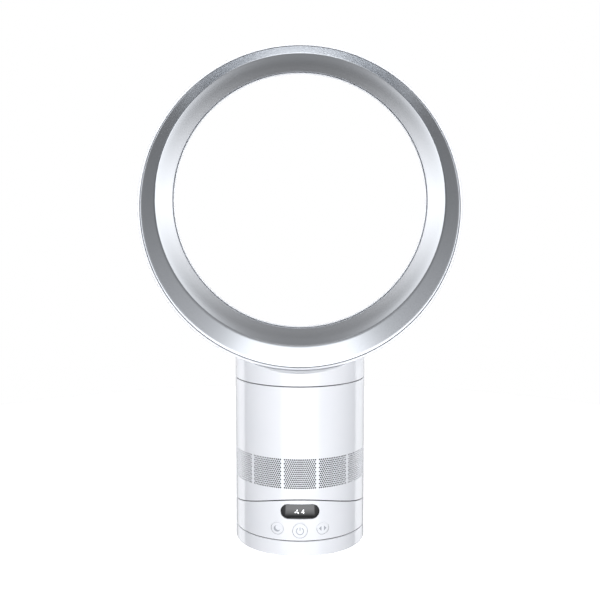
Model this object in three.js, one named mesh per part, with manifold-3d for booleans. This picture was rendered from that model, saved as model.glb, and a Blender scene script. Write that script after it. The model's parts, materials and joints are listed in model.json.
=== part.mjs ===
// A bladeless desk fan, in millimetres, +Z up. The origin is on the surface it stands on, under the
// middle of the foot. The front, with the display and the buttons, faces -Y.
//
// From the floor up: a foot, a control section that oscillates on it, a body that tilts on the control
// section's curved top, and a loop that twists off the body. Air enters through the perforated band of
// the body, the impeller drives it up the neck into the hollow loop, and it leaves through the narrow
// slot at the rear of the loop's inner face.
import * as THREE from 'three';
import { mergeGeometries, mergeVertices } from 'three/addons/utils/BufferGeometryUtils.js';
import Module from 'manifold-3d';

const wasm = await Module();
wasm.setup();

// ---- Driving dimensions -------------------------------------------------------------------------

const HEIGHT = 552; // floor to the top of the loop
const BODY_R = 73.5; // outside of the foot, control section, sleeve and neck
const WALL = 2.5; // moulded casings
const SKIN = 2; // lighter moulded walls inside
const GAP = 0.3; // clearance between pieces that bear on each other
const SEAM = 1; // open line between two casings
const OVERCUT = 1; // how far a cutter runs past what it cuts
const FACETS = 36; // of a body-sized circle
const LOOP_FACETS = 48;
const FEW = 24; // facets of a small circle
const DRUM_FACETS = 48; // of the large circles that cut the curved seams

const FOOT = { rim: 1, top: 18.2, deck: 2.2, hole: 17.5, corner: 4.6 };
const BASE_PLATE = { r: 66.8, z: 2.5, thick: 2 };
const PAD = { r: 8, height: 2.2, chamfer: 0.8, ring: 52 };
const FOOT_SCREW = { ring: 40, r: 1.5, head: 3.4, bottom: 1.3, headTop: 2.2, top: 12, boss: 4, facets: 8 };
const SPIGOT = { r: 14.6, bore: 8, flange: 22, top: 34, retainer: 19 };
const WASHER = { r: 26, thick: 0.7 };
const GLIDE = { inner: 60, outer: 66 };
const GLAND = { z: 10.2, r: 4.4, bore: 1.9, flange: 5, inner: 66.4, depth: 3.6 };

const FLOOR = { z: 20.1, thick: 1.8, hub: 20, hubTop: 24 };
const GEAR = {
  module: 1.25, pressureAngle: 20, sunTeeth: 48, pinionTeeth: 12,
  bottom: 24.4, thick: 6, play: 0.3, slack: 0.3,
};
const STEPPER = {
  r: 14, bottom: 31.2, top: 45.4, shaft: 2.3, seat: 6, ears: 21, earWide: 7, earThick: 1.2, post: 3,
};

const TILT = { z: 223.8, r: 175, halfSpan: 24.6, limit: 10 }; // axis height, seam radius, degrees
const DRUM_LENGTH = 4 * BODY_R; // cutters along the tilt axis and along the bore
const RUNNER = { x: 44, web: 2.5, hook: 7, half: 5, depth: 183, hookThick: 2.4, side: 0.6, end: 0.7 };
const RAIL = { half: 15, inset: 0.9, proud: 0.8, lift: 0.4 };
const WIRE_WAY = { x: 8, half: 4 };

const PILL = { halfWide: 20.9, z: 51.6, r: 8.05 };
const WINDOW_SINK = 0.1;
const POWER = { x: 0, z: 30.2, r: 7.9, wing: 10 };
const SIDE_BUTTON = { x: 24.8, z: 31.8, r: 6.4, wing: 8 };
const SCOOP = { r: 9, lift: 1.5, depth: 1.3 };
const BUTTON = { clearance: 0.4, sink: 0.2, wingHalf: 4, wingThick: 1.2, stem: 2, stemEnd: -60 };
const BOARD = { x: 33, bottom: 24.6, top: 52.6, front: -54.6, thick: 1.6 };
const BOARD_PARTS = [[-9, 9, 32, 44, 2], [16, 26, 34, 42, 1.6], [-28, -17, 30, 38, 5]]; // x, x, z, z, height
const SWITCH = { half: 3, thick: 3, plunger: 1.7, plungerFront: -58.8 };
const MODULE = { x: 19, bottom: 44.6, top: 53, front: -66.4 };

const INLET = { bottom: 76.7, top: 110, panels: 12, rows: 3, columns: 3, wide: 4.5, high: 4.7 };
const SLEEVE_TOP = 188.3;
const MOTOR_BOARD = {
  x: 35, y: 26, z: 66, thick: 1.6,
  capacitor: { x: -24, places: [14, -2], r: 5, tall: 10 },
  chip: { x0: 2, x1: 14, y0: -6, y1: 6, height: 1.8 },
  heatSink: { x0: 22, x1: 31, y0: -18, y1: 12, height: 6 },
};
const BELL = { z: 112.2, throat: 46.4, flare: 10.6, top: 121.4, facets: 30 };
const ISOLATOR = { inner: 57.8, outer: 62, bottom: 114.6, top: 119.2 };
const DUCT = { bottom: 119.5, waist: 146, top: 173.2, inlet: 50.5, waistR: 56, outlet: 60, flange: 65 };
const IMPELLER = {
  bottom: 118, top: 143, bladeBottom: 123, bladeTop: 142.4, blades: 9, twist: 54, blade: 2.6, tipGap: 0.8,
  hub: [[8, 0.4], [13, 3], [20, 9], [28, 17], [34, 25]], // radius, height above the bottom
};
const SHAFT = { r: 2.5, bottom: 117.5, top: 174 };
const BUCKET = {
  bottom: 144.5, top: 168, r: 38, seatWall: 2.8,
  vanes: 9, vaneBottom: 147.5, vaneTop: 160, vaneTwist: 14, vaneR: 55.6, vane: 1.6,
};
const COVER = { roof: 176, shoulder: [26.6, 177], crown: 182 };
const BEARING = { r: 8.1, bore: 2.9, lowerZ: 144.9, upperZ: 167, thick: 4, shelf: 0.4 };
const STATOR = { r: 35.6, bore: 13, bottom: 151, top: 164, teeth: 9, yoke: 6, shoe: 2.4, airGap: 0.9 };
const WINDING = { inner: 17, outer: 30 };
const FOAM = { inner: 62.6, outer: 70, bottom: 123, top: 169 };

const LOCK = {
  lugs: 3, start: 90, lugHalf: 9, entryHalf: 10.5, turn: 20, // degrees
  lugR: 68.2, spigotR: 65.8, spigotIn: 63.4, play: 0.4, seal: 59,
};
const LOCK_Z = { spigot: 177, lugTop: 181, shelf: 181.4, collar: 176, collarTop: 188, root: 0.8 };
const NECK = { bottom: 189.4, web: 193, tall: 240, saddleGap: 0.4, sealBottom: 173.5 };

const LOOP = {
  r: 174.2, front: -54.4, rear: 50, creaseR: 156.6, creaseY: -44, waist: [152.2, -4], bendY: 22,
  throatR: 145.9, lipY: 31, tailY: 38,
};
const RIM_GAP = 0.4; // open line between the silver shell and the casing's front lip
const BORE_LIFT = 8.2; // the bore's axis above the outer circle's, so the section is deepest at the neck
const SLOT = { inner: 1.2, open: 1.5, spacers: 10, spacer: 0.8 }; // lip, slot width, ribs that hold it open
const PORT = { x: 33, y: 32, wall: 2, bottom: 202, top: 214 }; // air port from the neck into the loop

const INNER_R = BODY_R - WALL;
const BASE_PLATE_TOP = BASE_PLATE.z + BASE_PLATE.thick;
const FIT_R = INNER_R * Math.cos(Math.PI / FACETS) - GAP; // a round piece that stands inside a casing
const LOOP_Z = HEIGHT - LOOP.r;
const BORE_Z = LOOP_Z + BORE_LIFT;
const CENTRES = (GEAR.module * (GEAR.sunTeeth + GEAR.pinionTeeth)) / 2 + GEAR.slack;

// ---- Finishes -----------------------------------------------------------------------------------

const finish = (color, roughness, metalness = 0) =>
  new THREE.MeshStandardMaterial({ color, roughness, metalness });
const WHITE = finish('#f2f3f5', 0.22);
const SILVER = finish('#a9adb1', 0.3, 0.85);
const BUTTON_WHITE = finish('#eceef1', 0.35);
const WINDOW = finish('#26282a', 0.12);
const RUBBER = finish('#2b2c2e', 0.85);
const INNER_GREY = finish('#85888c', 0.6);
const INNER_WHITE = finish('#dcdddf', 0.55);
const ACETAL = finish('#e9e6dc', 0.45);
const STEEL = finish('#a5a7a9', 0.35, 1);
const IRON = finish('#6e7175', 0.5, 0.9);
const COPPER = finish('#b4693a', 0.4, 1);
const CIRCUIT = finish('#1f5a3c', 0.6);
const FOAM_GREY = finish('#4a4c4f', 0.95);
const IMPELLER_GREY = finish('#3d4044', 0.45);

// ---- Shapes -------------------------------------------------------------------------------------

const rad = THREE.MathUtils.degToRad;
const { lerp } = THREE.MathUtils;

// A closed outline of [radius, height] turned about the Y axis.
function turnAboutY(outline, facets = FEW) {
  const points = outline.map(([r, h]) => new THREE.Vector2(r, h));
  if (THREE.ShapeUtils.area(points) < 0) points.reverse();
  const last = points[points.length - 1];
  if (points[0].x > 0 || last.x > 0) points.push(points[0].clone());
  return new THREE.LatheGeometry(points, facets);
}

const turn = (outline, facets) => turnAboutY(outline, facets).rotateX(Math.PI / 2);

const ring = (inner, outer, bottom, top, facets) =>
  turn([[inner, bottom], [outer, bottom], [outer, top], [inner, top]], facets);

function box(x0, x1, y0, y1, z0, z1) {
  const size = new THREE.BoxGeometry(x1 - x0, y1 - y0, z1 - z0);
  return size.translate((x0 + x1) / 2, (y0 + y1) / 2, (z0 + z1) / 2);
}

const rodZ = (r, z0, z1, x = 0, y = 0, facets = FEW) =>
  new THREE.CylinderGeometry(r, r, z1 - z0, facets).rotateX(Math.PI / 2).translate(x, y, (z0 + z1) / 2);
const rodY = (r, y0, y1, x = 0, z = 0, facets = FEW) =>
  new THREE.CylinderGeometry(r, r, y1 - y0, facets).translate(x, (y0 + y1) / 2, z);

// A flat outline extruded upwards from a height.
const plate = (shape, bottom, thick, curveSegments = 6) =>
  new THREE.ExtrudeGeometry(shape, { depth: thick, bevelEnabled: false, curveSegments })
    .translate(0, 0, bottom);

function sectorShape(inner, outer, from, to) {
  const shape = new THREE.Shape();
  shape.absarc(0, 0, outer, from, to, false);
  shape.absarc(0, 0, inner, to, from, true);
  return shape;
}

// A bar that follows the tilt seam: a sector about the tilt axis, between two places across the fan.
function tiltBar(inner, outer, halfDegrees, x0, x1, steps) {
  const half = rad(halfDegrees);
  const shape = sectorShape(inner, outer, -Math.PI / 2 - half, -Math.PI / 2 + half);
  const bar = plate(shape, x0, x1 - x0, steps);
  const across = new THREE.Matrix4().makeBasis(
    new THREE.Vector3(0, 1, 0),
    new THREE.Vector3(0, 0, 1),
    new THREE.Vector3(1, 0, 0),
  );
  return bar.applyMatrix4(across).translate(0, 0, TILT.z);
}

// Joins rows of points into a closed tube with flat ends. Opposite sides are split along like
// diagonals, so that a thin twisted tube keeps its thickness.
function loft(rows) {
  const sides = rows[0].length;
  const index = [];
  for (let row = 0; row + 1 < rows.length; row++) {
    for (let side = 0; side < sides; side++) {
      const a = row * sides + side;
      const b = row * sides + ((side + 1) % sides);
      if (side < sides / 2) index.push(a, b, b + sides, a, b + sides, a + sides);
      else index.push(a, b, a + sides, b, b + sides, a + sides);
    }
  }
  const last = (rows.length - 1) * sides;
  for (let side = 1; side + 1 < sides; side++) {
    index.push(0, side + 1, side, last, last + side, last + side + 1);
  }
  const geometry = new THREE.BufferGeometry();
  geometry.setAttribute('position', new THREE.Float32BufferAttribute(rows.flat(2), 3));
  geometry.setIndex(index);
  return geometry;
}

function solid(geometry) {
  const bare = geometry.clone();
  bare.deleteAttribute('normal');
  bare.deleteAttribute('uv');
  const merged = mergeVertices(bare, 1e-4);
  const all = merged.index.array;
  const kept = [];
  for (let i = 0; i < all.length; i += 3) {
    const [a, b, c] = [all[i], all[i + 1], all[i + 2]];
    if (a !== b && b !== c && c !== a) kept.push(a, b, c);
  }
  const vertProperties = new Float32Array(merged.attributes.position.array);
  return new wasm.Manifold(new wasm.Mesh({ numProp: 3, vertProperties, triVerts: new Uint32Array(kept) }));
}

function surface(body) {
  const mesh = body.getMesh();
  const geometry = new THREE.BufferGeometry();
  geometry.setAttribute('position', new THREE.BufferAttribute(mesh.vertProperties, 3));
  geometry.setIndex(new THREE.BufferAttribute(mesh.triVerts, 1));
  return geometry;
}

const join = (first, ...others) => others.reduce((whole, other) => whole.add(solid(other)), solid(first));
const cut = (body, ...tools) => tools.reduce((rest, tool) => rest.subtract(solid(tool)), body);

function piece(name, geometry, material) {
  const mesh = new THREE.Mesh(geometry, material);
  mesh.name = name;
  return mesh;
}

function group(...children) {
  const whole = new THREE.Group();
  whole.add(...children);
  return whole;
}

// ---- Foot: stands still on the table ------------------------------------------------------------

function footScrewPlaces() {
  return [45, 135, 225, 315].map((degrees) => [
    FOOT_SCREW.ring * Math.cos(rad(degrees)),
    FOOT_SCREW.ring * Math.sin(rad(degrees)),
  ]);
}

// A shallow inverted dish with a rounded lower corner and four screw bosses under its deck.
function footShell() {
  const { rim, top, deck, hole, corner } = FOOT;
  const under = top - deck;
  const rounded = [0, 45, 90].map((degrees) => [
    BODY_R - corner + corner * Math.sin(rad(degrees)),
    rim + corner - corner * Math.cos(rad(degrees)),
  ]);
  const inside = BODY_R - corner - WALL / 2;
  const outline = [
    ...rounded,
    [BODY_R, top],
    [hole, top],
    [hole, under],
    [INNER_R, under],
    [INNER_R, rim + corner],
    [inside, rim + WALL],
    [inside, rim],
  ];
  let shell = solid(turn(outline, FACETS));
  for (const [x, y] of footScrewPlaces()) {
    const { r, boss, top: tip, facets } = FOOT_SCREW;
    shell = shell.add(solid(rodZ(boss, BASE_PLATE_TOP + GAP, under + OVERCUT, x, y, facets)));
    shell = cut(shell, rodZ(r + GAP, rim, tip + OVERCUT, x, y, facets));
  }
  return surface(cut(shell, rodY(GLAND.r + GAP, GLAND.inner - 2 * WALL, BODY_R + OVERCUT, 0, GLAND.z)));
}

function footBasePlate() {
  const { r, z } = BASE_PLATE;
  const { r: screwR, facets } = FOOT_SCREW;
  const disc = solid(rodZ(r, z, BASE_PLATE_TOP, 0, 0, FACETS));
  const holes = footScrewPlaces().map(
    ([x, y]) => rodZ(screwR + GAP, z - OVERCUT, BASE_PLATE_TOP + OVERCUT, x, y, facets),
  );
  return surface(cut(disc, ...holes));
}

function rubberFeet() {
  const { r, height, chamfer } = PAD;
  const outline = [[0, 0], [r - chamfer, 0], [r, chamfer], [r, height], [0, height]];
  return [0, 1, 2, 3].map((quarter) => {
    const pad = piece(`rubber_foot_${quarter + 1}`, turn(outline, 16), RUBBER);
    const angle = (quarter * Math.PI) / 2;
    pad.position.set(PAD.ring * Math.sin(angle), -PAD.ring * Math.cos(angle), 0);
    return pad;
  });
}

function footScrews() {
  const { r, head, bottom, headTop, top, facets } = FOOT_SCREW;
  const outline = [[0, bottom], [head, bottom], [head, headTop], [r, headTop], [r, top], [0, top]];
  return footScrewPlaces().map(([x, y], number) => {
    const screw = piece(`foot_screw_${number + 1}`, turn(outline, facets), STEEL);
    screw.position.set(x, y, 0);
    return screw;
  });
}

// The upright tube that the control section turns on. The wiring goes up its bore.
function oscillationSpigot() {
  const { r, bore, flange, top } = SPIGOT;
  const bottom = BASE_PLATE_TOP + GAP;
  const shoulder = bottom + SKIN;
  return turn([[bore, bottom], [flange, bottom], [flange, shoulder], [r, shoulder], [r, top], [bore, top]]);
}

// A grommet whose bore takes the thin supply lead.
function cordGland() {
  const { z, r, bore, flange, inner, depth } = GLAND;
  const outline = [
    [bore, inner],
    [flange, inner],
    [flange, inner + depth],
    [r, inner + depth],
    [r, BODY_R - GAP],
    [bore, BODY_R - GAP],
  ];
  return turnAboutY(outline, 16).translate(0, 0, z);
}

// Straight-flanked teeth of full depth, tangentially thinned so that the pair runs free.
function gearShape(teeth, phase) {
  const { module, pressureAngle, play } = GEAR;
  const pitchR = (teeth * module) / 2;
  const slope = Math.tan(rad(pressureAngle));
  const half = ((Math.PI * module) / 2 - play) / 2;
  const dedendum = 1.25 * module;
  const root = [pitchR - dedendum, half + dedendum * slope];
  const tip = [pitchR + module, half - module * slope];
  const corners = [[root[0], -root[1]], [tip[0], -tip[1]], tip, root];
  const points = [];
  for (let tooth = 0; tooth < teeth; tooth++) {
    const centre = (2 * Math.PI * tooth) / teeth + phase;
    for (const [r, sideways] of corners) {
      const angle = centre + sideways / r;
      points.push(new THREE.Vector2(r * Math.cos(angle), r * Math.sin(angle)));
    }
  }
  return new THREE.Shape(points);
}

function boredGear(teeth, phase, bore, bottom, thick) {
  const shape = gearShape(teeth, phase);
  shape.holes.push(new THREE.Path().absarc(0, 0, bore, 0, 2 * Math.PI, true));
  return plate(shape, bottom, thick, FEW / 2);
}

const sunGear = () => boredGear(GEAR.sunTeeth, 0, SPIGOT.r + GAP, GEAR.bottom, GEAR.thick);

function foot() {
  const deck = FOOT.top + GAP;
  const gearTop = GEAR.bottom + GEAR.thick + GAP;
  const bore = SPIGOT.r + GAP;
  return group(
    piece('foot_shell', footShell(), WHITE),
    piece('foot_base_plate', footBasePlate(), STEEL),
    ...rubberFeet(),
    ...footScrews(),
    piece('oscillation_spigot', oscillationSpigot(), ACETAL),
    piece('thrust_washer', ring(bore, WASHER.r, deck, deck + WASHER.thick), ACETAL),
    piece('glide_ring', ring(GLIDE.inner, GLIDE.outer, deck, FLOOR.z - GAP), ACETAL),
    piece('sun_gear', sunGear(), ACETAL),
    piece('retaining_ring', ring(bore, SPIGOT.retainer, gearTop, SPIGOT.top - 1), STEEL),
    piece('cord_gland', cordGland(), RUBBER),
  );
}

// ---- Control section: oscillates on the foot ----------------------------------------------------

const mirrored = (button) => ({ ...button, x: -button.x });

function stadium(halfWide, r) {
  const shape = new THREE.Shape();
  shape.absarc(halfWide - r, 0, r, -Math.PI / 2, Math.PI / 2, false);
  shape.absarc(-halfWide + r, 0, r, Math.PI / 2, (3 * Math.PI) / 2, false);
  return shape;
}

// A stadium block along Y, through the front wall.
function pillBlock(grow) {
  const depth = 20;
  const shape = stadium(PILL.halfWide + grow, PILL.r + grow);
  return plate(shape, 0, depth, 8).rotateX(Math.PI / 2).translate(0, depth - OVERCUT - BODY_R, PILL.z);
}

const tiltDrum = (r) =>
  new THREE.CylinderGeometry(r, r, DRUM_LENGTH, DRUM_FACETS).rotateZ(Math.PI / 2).translate(0, 0, TILT.z);

function baseShell() {
  const front = -BODY_R - OVERCUT;
  const tube = solid(ring(INNER_R, BODY_R, FOOT.top + SEAM, TILT.z - TILT.r + BODY_R / 2, FACETS));
  const buttonHole = ({ x, z, r }) => rodY(r + BUTTON.clearance, front, BOARD.front, x, z);
  return surface(cut(
    tube.subtract(solid(tiltDrum(TILT.r + SEAM / 2))),
    pillBlock(GAP),
    buttonHole(POWER),
    buttonHole(SIDE_BUTTON),
    buttonHole(mirrored(SIDE_BUTTON)),
    rodY(SCOOP.r, front, SCOOP.depth - BODY_R, POWER.x, POWER.z + SCOOP.lift),
  ));
}

// The disc that turns on the spigot, with two posts for the stepper motor.
function turntableFloor() {
  const { z, thick, hub, hubTop } = FLOOR;
  const bore = SPIGOT.r + GAP;
  const hubBottom = FOOT.top + GAP + WASHER.thick + GAP;
  const outline = [
    [bore, hubBottom], [hub, hubBottom], [hub, z], [FIT_R, z],
    [FIT_R, z + thick], [hub, z + thick], [hub, hubTop], [bore, hubTop],
  ];
  const { ears, earWide, post, bottom } = STEPPER;
  const postX = ears - earWide / 2;
  const posts = [-postX, postX].map((x) => rodZ(post, z + OVERCUT, bottom - GAP, x, CENTRES, FEW / 2));
  return surface(join(turn(outline, FACETS), ...posts));
}

// A disc-shaped piece of a shell that follows the tilt seam.
function seamDish(inner, outer) {
  const bar = solid(tiltBar(inner, outer, TILT.halfSpan, -FIT_R, FIT_R, 10));
  return bar.intersect(solid(rodZ(FIT_R, 0, TILT.z - TILT.r + BODY_R, 0, 0, FACETS)));
}

const wireWay = (inner, outer) => tiltBar(inner, outer, WIRE_WAY.half, -WIRE_WAY.x, WIRE_WAY.x, 2);

// The curved top of the control section, slotted for the tilt runners and the wiring.
function cradlePlate() {
  const { x, web, half, side, end } = RUNNER;
  const inner = TILT.r + SEAM / 2;
  const outer = inner + WALL;
  const slotHalf = half + TILT.limit + end;
  const slot = (x0) =>
    tiltBar(inner - OVERCUT, outer + OVERCUT, slotHalf, x0 - side, x0 + web + side, 4);
  const wires = wireWay(inner - OVERCUT, outer + OVERCUT);
  return surface(cut(seamDish(inner, outer), slot(x), slot(-x - web), wires));
}

// A tilt bar on the right side, or its mirror image on the left one.
const sideBar = (side, inner, outer, half, x0, x1, steps) =>
  side > 0 ? tiltBar(inner, outer, half, x0, x1, steps) : tiltBar(inner, outer, half, -x1, -x0, steps);

// A wear strip under the cradle, for the hook of one runner.
function cradleRail(side) {
  const { half, inset, proud, lift } = RAIL;
  const inner = TILT.r + SEAM / 2 + WALL + GAP;
  const outer = RUNNER.depth - RUNNER.hookThick - lift;
  return sideBar(side, inner, outer, half, RUNNER.x + RUNNER.web + inset, RUNNER.x + RUNNER.hook + proud, 8);
}

// A board across the front with a block for each of its larger components.
function controlBoard() {
  const { x, bottom, top, front, thick } = BOARD;
  const back = front + thick;
  const seat = back - thick / 2;
  const parts = BOARD_PARTS.map(([x0, x1, z0, z1, tall]) => box(x0, x1, seat, back + tall, z0, z1));
  return surface(join(box(-x, x, front, back, bottom, top), ...parts));
}

function tactSwitch({ x, z }) {
  const back = BOARD.front - GAP;
  const front = back - SWITCH.thick;
  return surface(join(
    box(x - SWITCH.half, x + SWITCH.half, front, back, z - SWITCH.half, z + SWITCH.half),
    rodY(SWITCH.plunger, SWITCH.plungerFront, front + OVERCUT, x, z, FEW / 2),
  ));
}

// The window is a slice of the casing's own cylinder, so that it lies flush.
function displayWindow() {
  const { z, r } = PILL;
  const skin = solid(ring(INNER_R + GAP, BODY_R - WINDOW_SINK, z - 2 * r, z + 2 * r, FACETS));
  return surface(skin.intersect(solid(pillBlock(0))));
}

const displayModule = () =>
  box(-MODULE.x, MODULE.x, MODULE.front, BOARD.front - GAP, MODULE.bottom, MODULE.top);

function stepperMotor() {
  const { r, bottom, top, shaft, seat, ears, earWide, earThick } = STEPPER;
  const half = earWide / 2;
  const body = join(
    rodZ(r, bottom, top, 0, CENTRES),
    box(-ears, ears, CENTRES - half, CENTRES + half, bottom, bottom + earThick),
  );
  return surface(cut(body, rodZ(shaft + 0.4, bottom - OVERCUT, bottom + seat, 0, CENTRES, 16)));
}

// A cap that follows the casing, two wings that keep it in, and a stem to its switch.
function pushButton({ x, z, r, wing }) {
  const { sink, wingHalf, wingThick, stem, stemEnd } = BUTTON;
  const wingFront = 0.5 - Math.sqrt(INNER_R ** 2 - (Math.abs(x) + wing) ** 2);
  const wingBack = wingFront + wingThick;
  const cap = solid(rodY(r, -BODY_R, wingFront + wingThick / 2, x, z))
    .intersect(solid(rodZ(BODY_R - sink, 0, z + 2 * r, 0, 0, FACETS)));
  const wings = box(x - wing, x + wing, wingFront, wingBack, z - wingHalf, z + wingHalf);
  const pin = rodY(stem, wingBack - wingThick / 2, stemEnd, x, z, FEW / 2);
  return surface(cap.add(solid(wings)).add(solid(pin)));
}

function pinion() {
  const { pinionTeeth, bottom, thick } = GEAR;
  const phase = Math.PI / pinionTeeth - Math.PI / 2;
  const inset = 0.2;
  const gear = boredGear(pinionTeeth, phase, STEPPER.shaft + GAP, bottom + inset, thick - 2 * inset);
  const shaft = rodZ(STEPPER.shaft, bottom, STEPPER.bottom + STEPPER.seat - 1, 0, 0, 16);
  const whole = group(
    piece('drive_pinion', gear, ACETAL),
    piece('pinion_shaft', shaft, STEEL),
  );
  whole.position.y = CENTRES;
  return whole;
}

function controlSection() {
  const left = mirrored(SIDE_BUTTON);
  return group(
    piece('base_shell', baseShell(), WHITE),
    piece('turntable_floor', turntableFloor(), INNER_GREY),
    piece('cradle_plate', cradlePlate(), WHITE),
    piece('cradle_rail_left', cradleRail(-1), ACETAL),
    piece('cradle_rail_right', cradleRail(1), ACETAL),
    piece('control_board', controlBoard(), CIRCUIT),
    piece('tact_switch_power', tactSwitch(POWER), INNER_GREY),
    piece('tact_switch_sleep', tactSwitch(left), INNER_GREY),
    piece('tact_switch_oscillation', tactSwitch(SIDE_BUTTON), INNER_GREY),
    piece('display_module', displayModule(), INNER_GREY),
    piece('display_window', displayWindow(), WINDOW),
    piece('stepper_motor', stepperMotor(), STEEL),
    piece('power_button', pushButton(POWER), BUTTON_WHITE),
    piece('sleep_button', pushButton(left), BUTTON_WHITE),
    piece('oscillation_button', pushButton(SIDE_BUTTON), BUTTON_WHITE),
    pinion(),
  );
}

// ---- Body: tilts on the control section ---------------------------------------------------------

// Diamond openings, one to a facet and so a whole number to a panel, with a solid rib between panels.
function inletHoles() {
  const { bottom, top, panels, rows, columns, wide, high } = INLET;
  const pitch = (top - bottom) / rows;
  const around = panels * columns;
  const holes = [];
  for (let row = 0; row < rows; row++) {
    for (let column = 0; column < around; column++) {
      const diamond = new THREE.CylinderGeometry(1, 1, 4 * WALL, 4).scale(wide, 1, high);
      diamond.translate(0, -BODY_R, bottom + (row + 0.5) * pitch);
      holes.push(diamond.rotateZ(((column + 0.5) * 2 * Math.PI) / around));
    }
  }
  return mergeGeometries(holes);
}

// A tube whose lower edge follows the tilt seam.
function bodySleeve() {
  const drum = solid(tiltDrum(TILT.r - SEAM / 2));
  const above = solid(rodZ(BODY_R + OVERCUT, TILT.z - BODY_R, SLEEVE_TOP + OVERCUT, 0, 0, FACETS));
  const tube = solid(ring(INNER_R, BODY_R, TILT.z - TILT.r, SLEEVE_TOP, FACETS));
  return surface(cut(tube.intersect(drum.add(above)), inletHoles()));
}

// The body's convex underside, which rides just above the cradle.
function bodyFloor() {
  const outer = TILT.r - SEAM / 2;
  const inner = outer - WALL;
  return surface(cut(seamDish(inner, outer), wireWay(inner - OVERCUT, outer + OVERCUT)));
}

// An L-shaped runner: the web goes through the cradle's slot, and the hook holds under its rail.
function tiltRunner(side) {
  const { x, web, hook, half, depth, hookThick } = RUNNER;
  const bar = (inner, x0, x1) => sideBar(side, inner, depth, half, x0, x1, 3);
  const upright = bar(TILT.r - SEAM / 2 + GAP, x, x + web);
  return surface(join(upright, bar(depth - hookThick, x + web / 2, x + hook)));
}

function motorBoard() {
  const { x, y, z, thick, capacitor, chip, heatSink } = MOTOR_BOARD;
  const top = z + thick;
  const seat = top - thick / 2;
  const { x: across, places, r, tall } = capacitor;
  const block = ({ x0, x1, y0, y1, height }) => box(x0, x1, y0, y1, seat, top + height);
  return surface(join(
    box(-x, x, -y, y, z, top),
    ...places.map((along) => rodZ(r, seat, top + tall, across, along, 16)),
    block(chip),
    block(heatSink),
  ));
}

// A funnel that leads the air into the impeller, held by its flange in the sleeve.
function bellmouth() {
  const { z, throat, flare, top, facets } = BELL;
  const curve = (r) => [25, 60].map((degrees) => [
    throat + flare - r * Math.cos(rad(degrees)),
    z + flare - r * Math.sin(rad(degrees)),
  ]);
  return turn([
    [throat, top],
    ...curve(flare),
    [throat + flare + SKIN, z],
    [FIT_R, z],
    [FIT_R, z + SKIN],
    [throat + flare + SKIN, z + SKIN],
    ...curve(flare - SKIN).reverse(),
    [throat + SKIN, top],
  ], facets);
}

// Inside radius of the duct at a height: it opens from the impeller to the neck.
function ductRadius(z) {
  const { bottom, waist, top, inlet, waistR, outlet } = DUCT;
  return z < waist
    ? lerp(inlet, waistR, (z - bottom) / (waist - bottom))
    : lerp(waistR, outlet, (z - waist) / (top - waist));
}

function impellerDuct() {
  const { bottom, waist, top, flange } = DUCT;
  const flangeZ = top - SKIN;
  const inside = [top, waist, bottom].map((z) => [ductRadius(z), z]);
  const outside = [bottom + SKIN, waist, flangeZ].map((z) => [ductRadius(z) + SKIN, z]);
  return turn([
    ...inside,
    [ISOLATOR.outer, bottom],
    [ISOLATOR.outer, bottom + SKIN],
    ...outside,
    [flange, flangeZ],
    [flange, top],
  ], BELL.facets);
}

// One twisted blade or vane: rows of four corners from its lower edge to its upper edge.
function blade({ start, twist, thick, z0, z1, root, tip, steps }) {
  const half = thick / 2;
  const rows = [];
  for (let step = 0; step <= steps; step++) {
    const t = step / steps;
    const z = lerp(z0, z1, t);
    const [c, s] = [Math.cos(start + twist * t), Math.sin(start + twist * t)];
    const corners = [[root(z), -half], [tip(z), -half], [tip(z), half], [root(z), half]];
    rows.push(corners.map(([r, side]) => [r * c - side * s, r * s + side * c, z]));
  }
  return loft(rows);
}

// The cup that holds the stator, with the diffuser's vanes round it.
function motorBucket() {
  const { bottom, top, r, seatWall, vanes, vaneBottom, vaneTop, vaneTwist, vaneR, vane } = BUCKET;
  const seat = BEARING.r + GAP;
  const seatTop = BEARING.lowerZ + BEARING.thick + 2 * GAP;
  let cup = solid(turn([
    [seat, bottom], [r, bottom], [r, top], [r - SKIN, top],
    [r - SKIN, bottom + SKIN], [seat + seatWall, bottom + SKIN], [seat + seatWall, seatTop], [seat, seatTop],
  ], 3 * vanes));
  for (let i = 0; i < vanes; i++) {
    cup = cup.add(solid(blade({
      start: (2 * Math.PI * i) / vanes,
      twist: rad(vaneTwist),
      thick: vane,
      z0: vaneBottom,
      z1: vaneTop,
      root: () => r - SKIN / 2,
      tip: () => vaneR,
      steps: 1,
    })));
  }
  return surface(cup);
}

// A domed cap that closes the bucket and seats the upper bearing.
function bucketCover() {
  const { top, r, seatWall } = BUCKET;
  const { roof, shoulder, crown } = COVER;
  const seat = BEARING.r + GAP;
  const seatBottom = BEARING.upperZ - BEARING.shelf;
  const z = top + GAP;
  return turn([
    [0, roof], [seat, roof], [seat, seatBottom], [seat + seatWall, seatBottom], [seat + seatWall, z], [r, z],
    [r, z + SKIN], shoulder, [0, crown],
  ]);
}

// Laminations with open slots for the windings. An outline point is a radius and a share of the tooth pitch.
function motorStator() {
  const { r, bore, bottom, top, teeth, yoke, shoe } = STATOR;
  const pitch = (2 * Math.PI) / teeth;
  const rising = [[bore, 0.42], [bore + shoe, 0.42], [bore + shoe, 0.24], [r - yoke, 0.12]];
  const falling = rising.map(([radius, share]) => [radius, -share]).reverse();
  const points = [];
  for (let tooth = 0; tooth < teeth; tooth++) {
    for (const [radius, share] of [...falling, ...rising]) {
      const angle = (tooth + share) * pitch;
      points.push(new THREE.Vector2(radius * Math.cos(angle), radius * Math.sin(angle)));
    }
  }
  const shape = new THREE.Shape().absarc(0, 0, r, 0, 2 * Math.PI, false);
  shape.holes.push(new THREE.Path(points));
  return plate(shape, bottom, top - bottom, 16);
}

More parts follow.
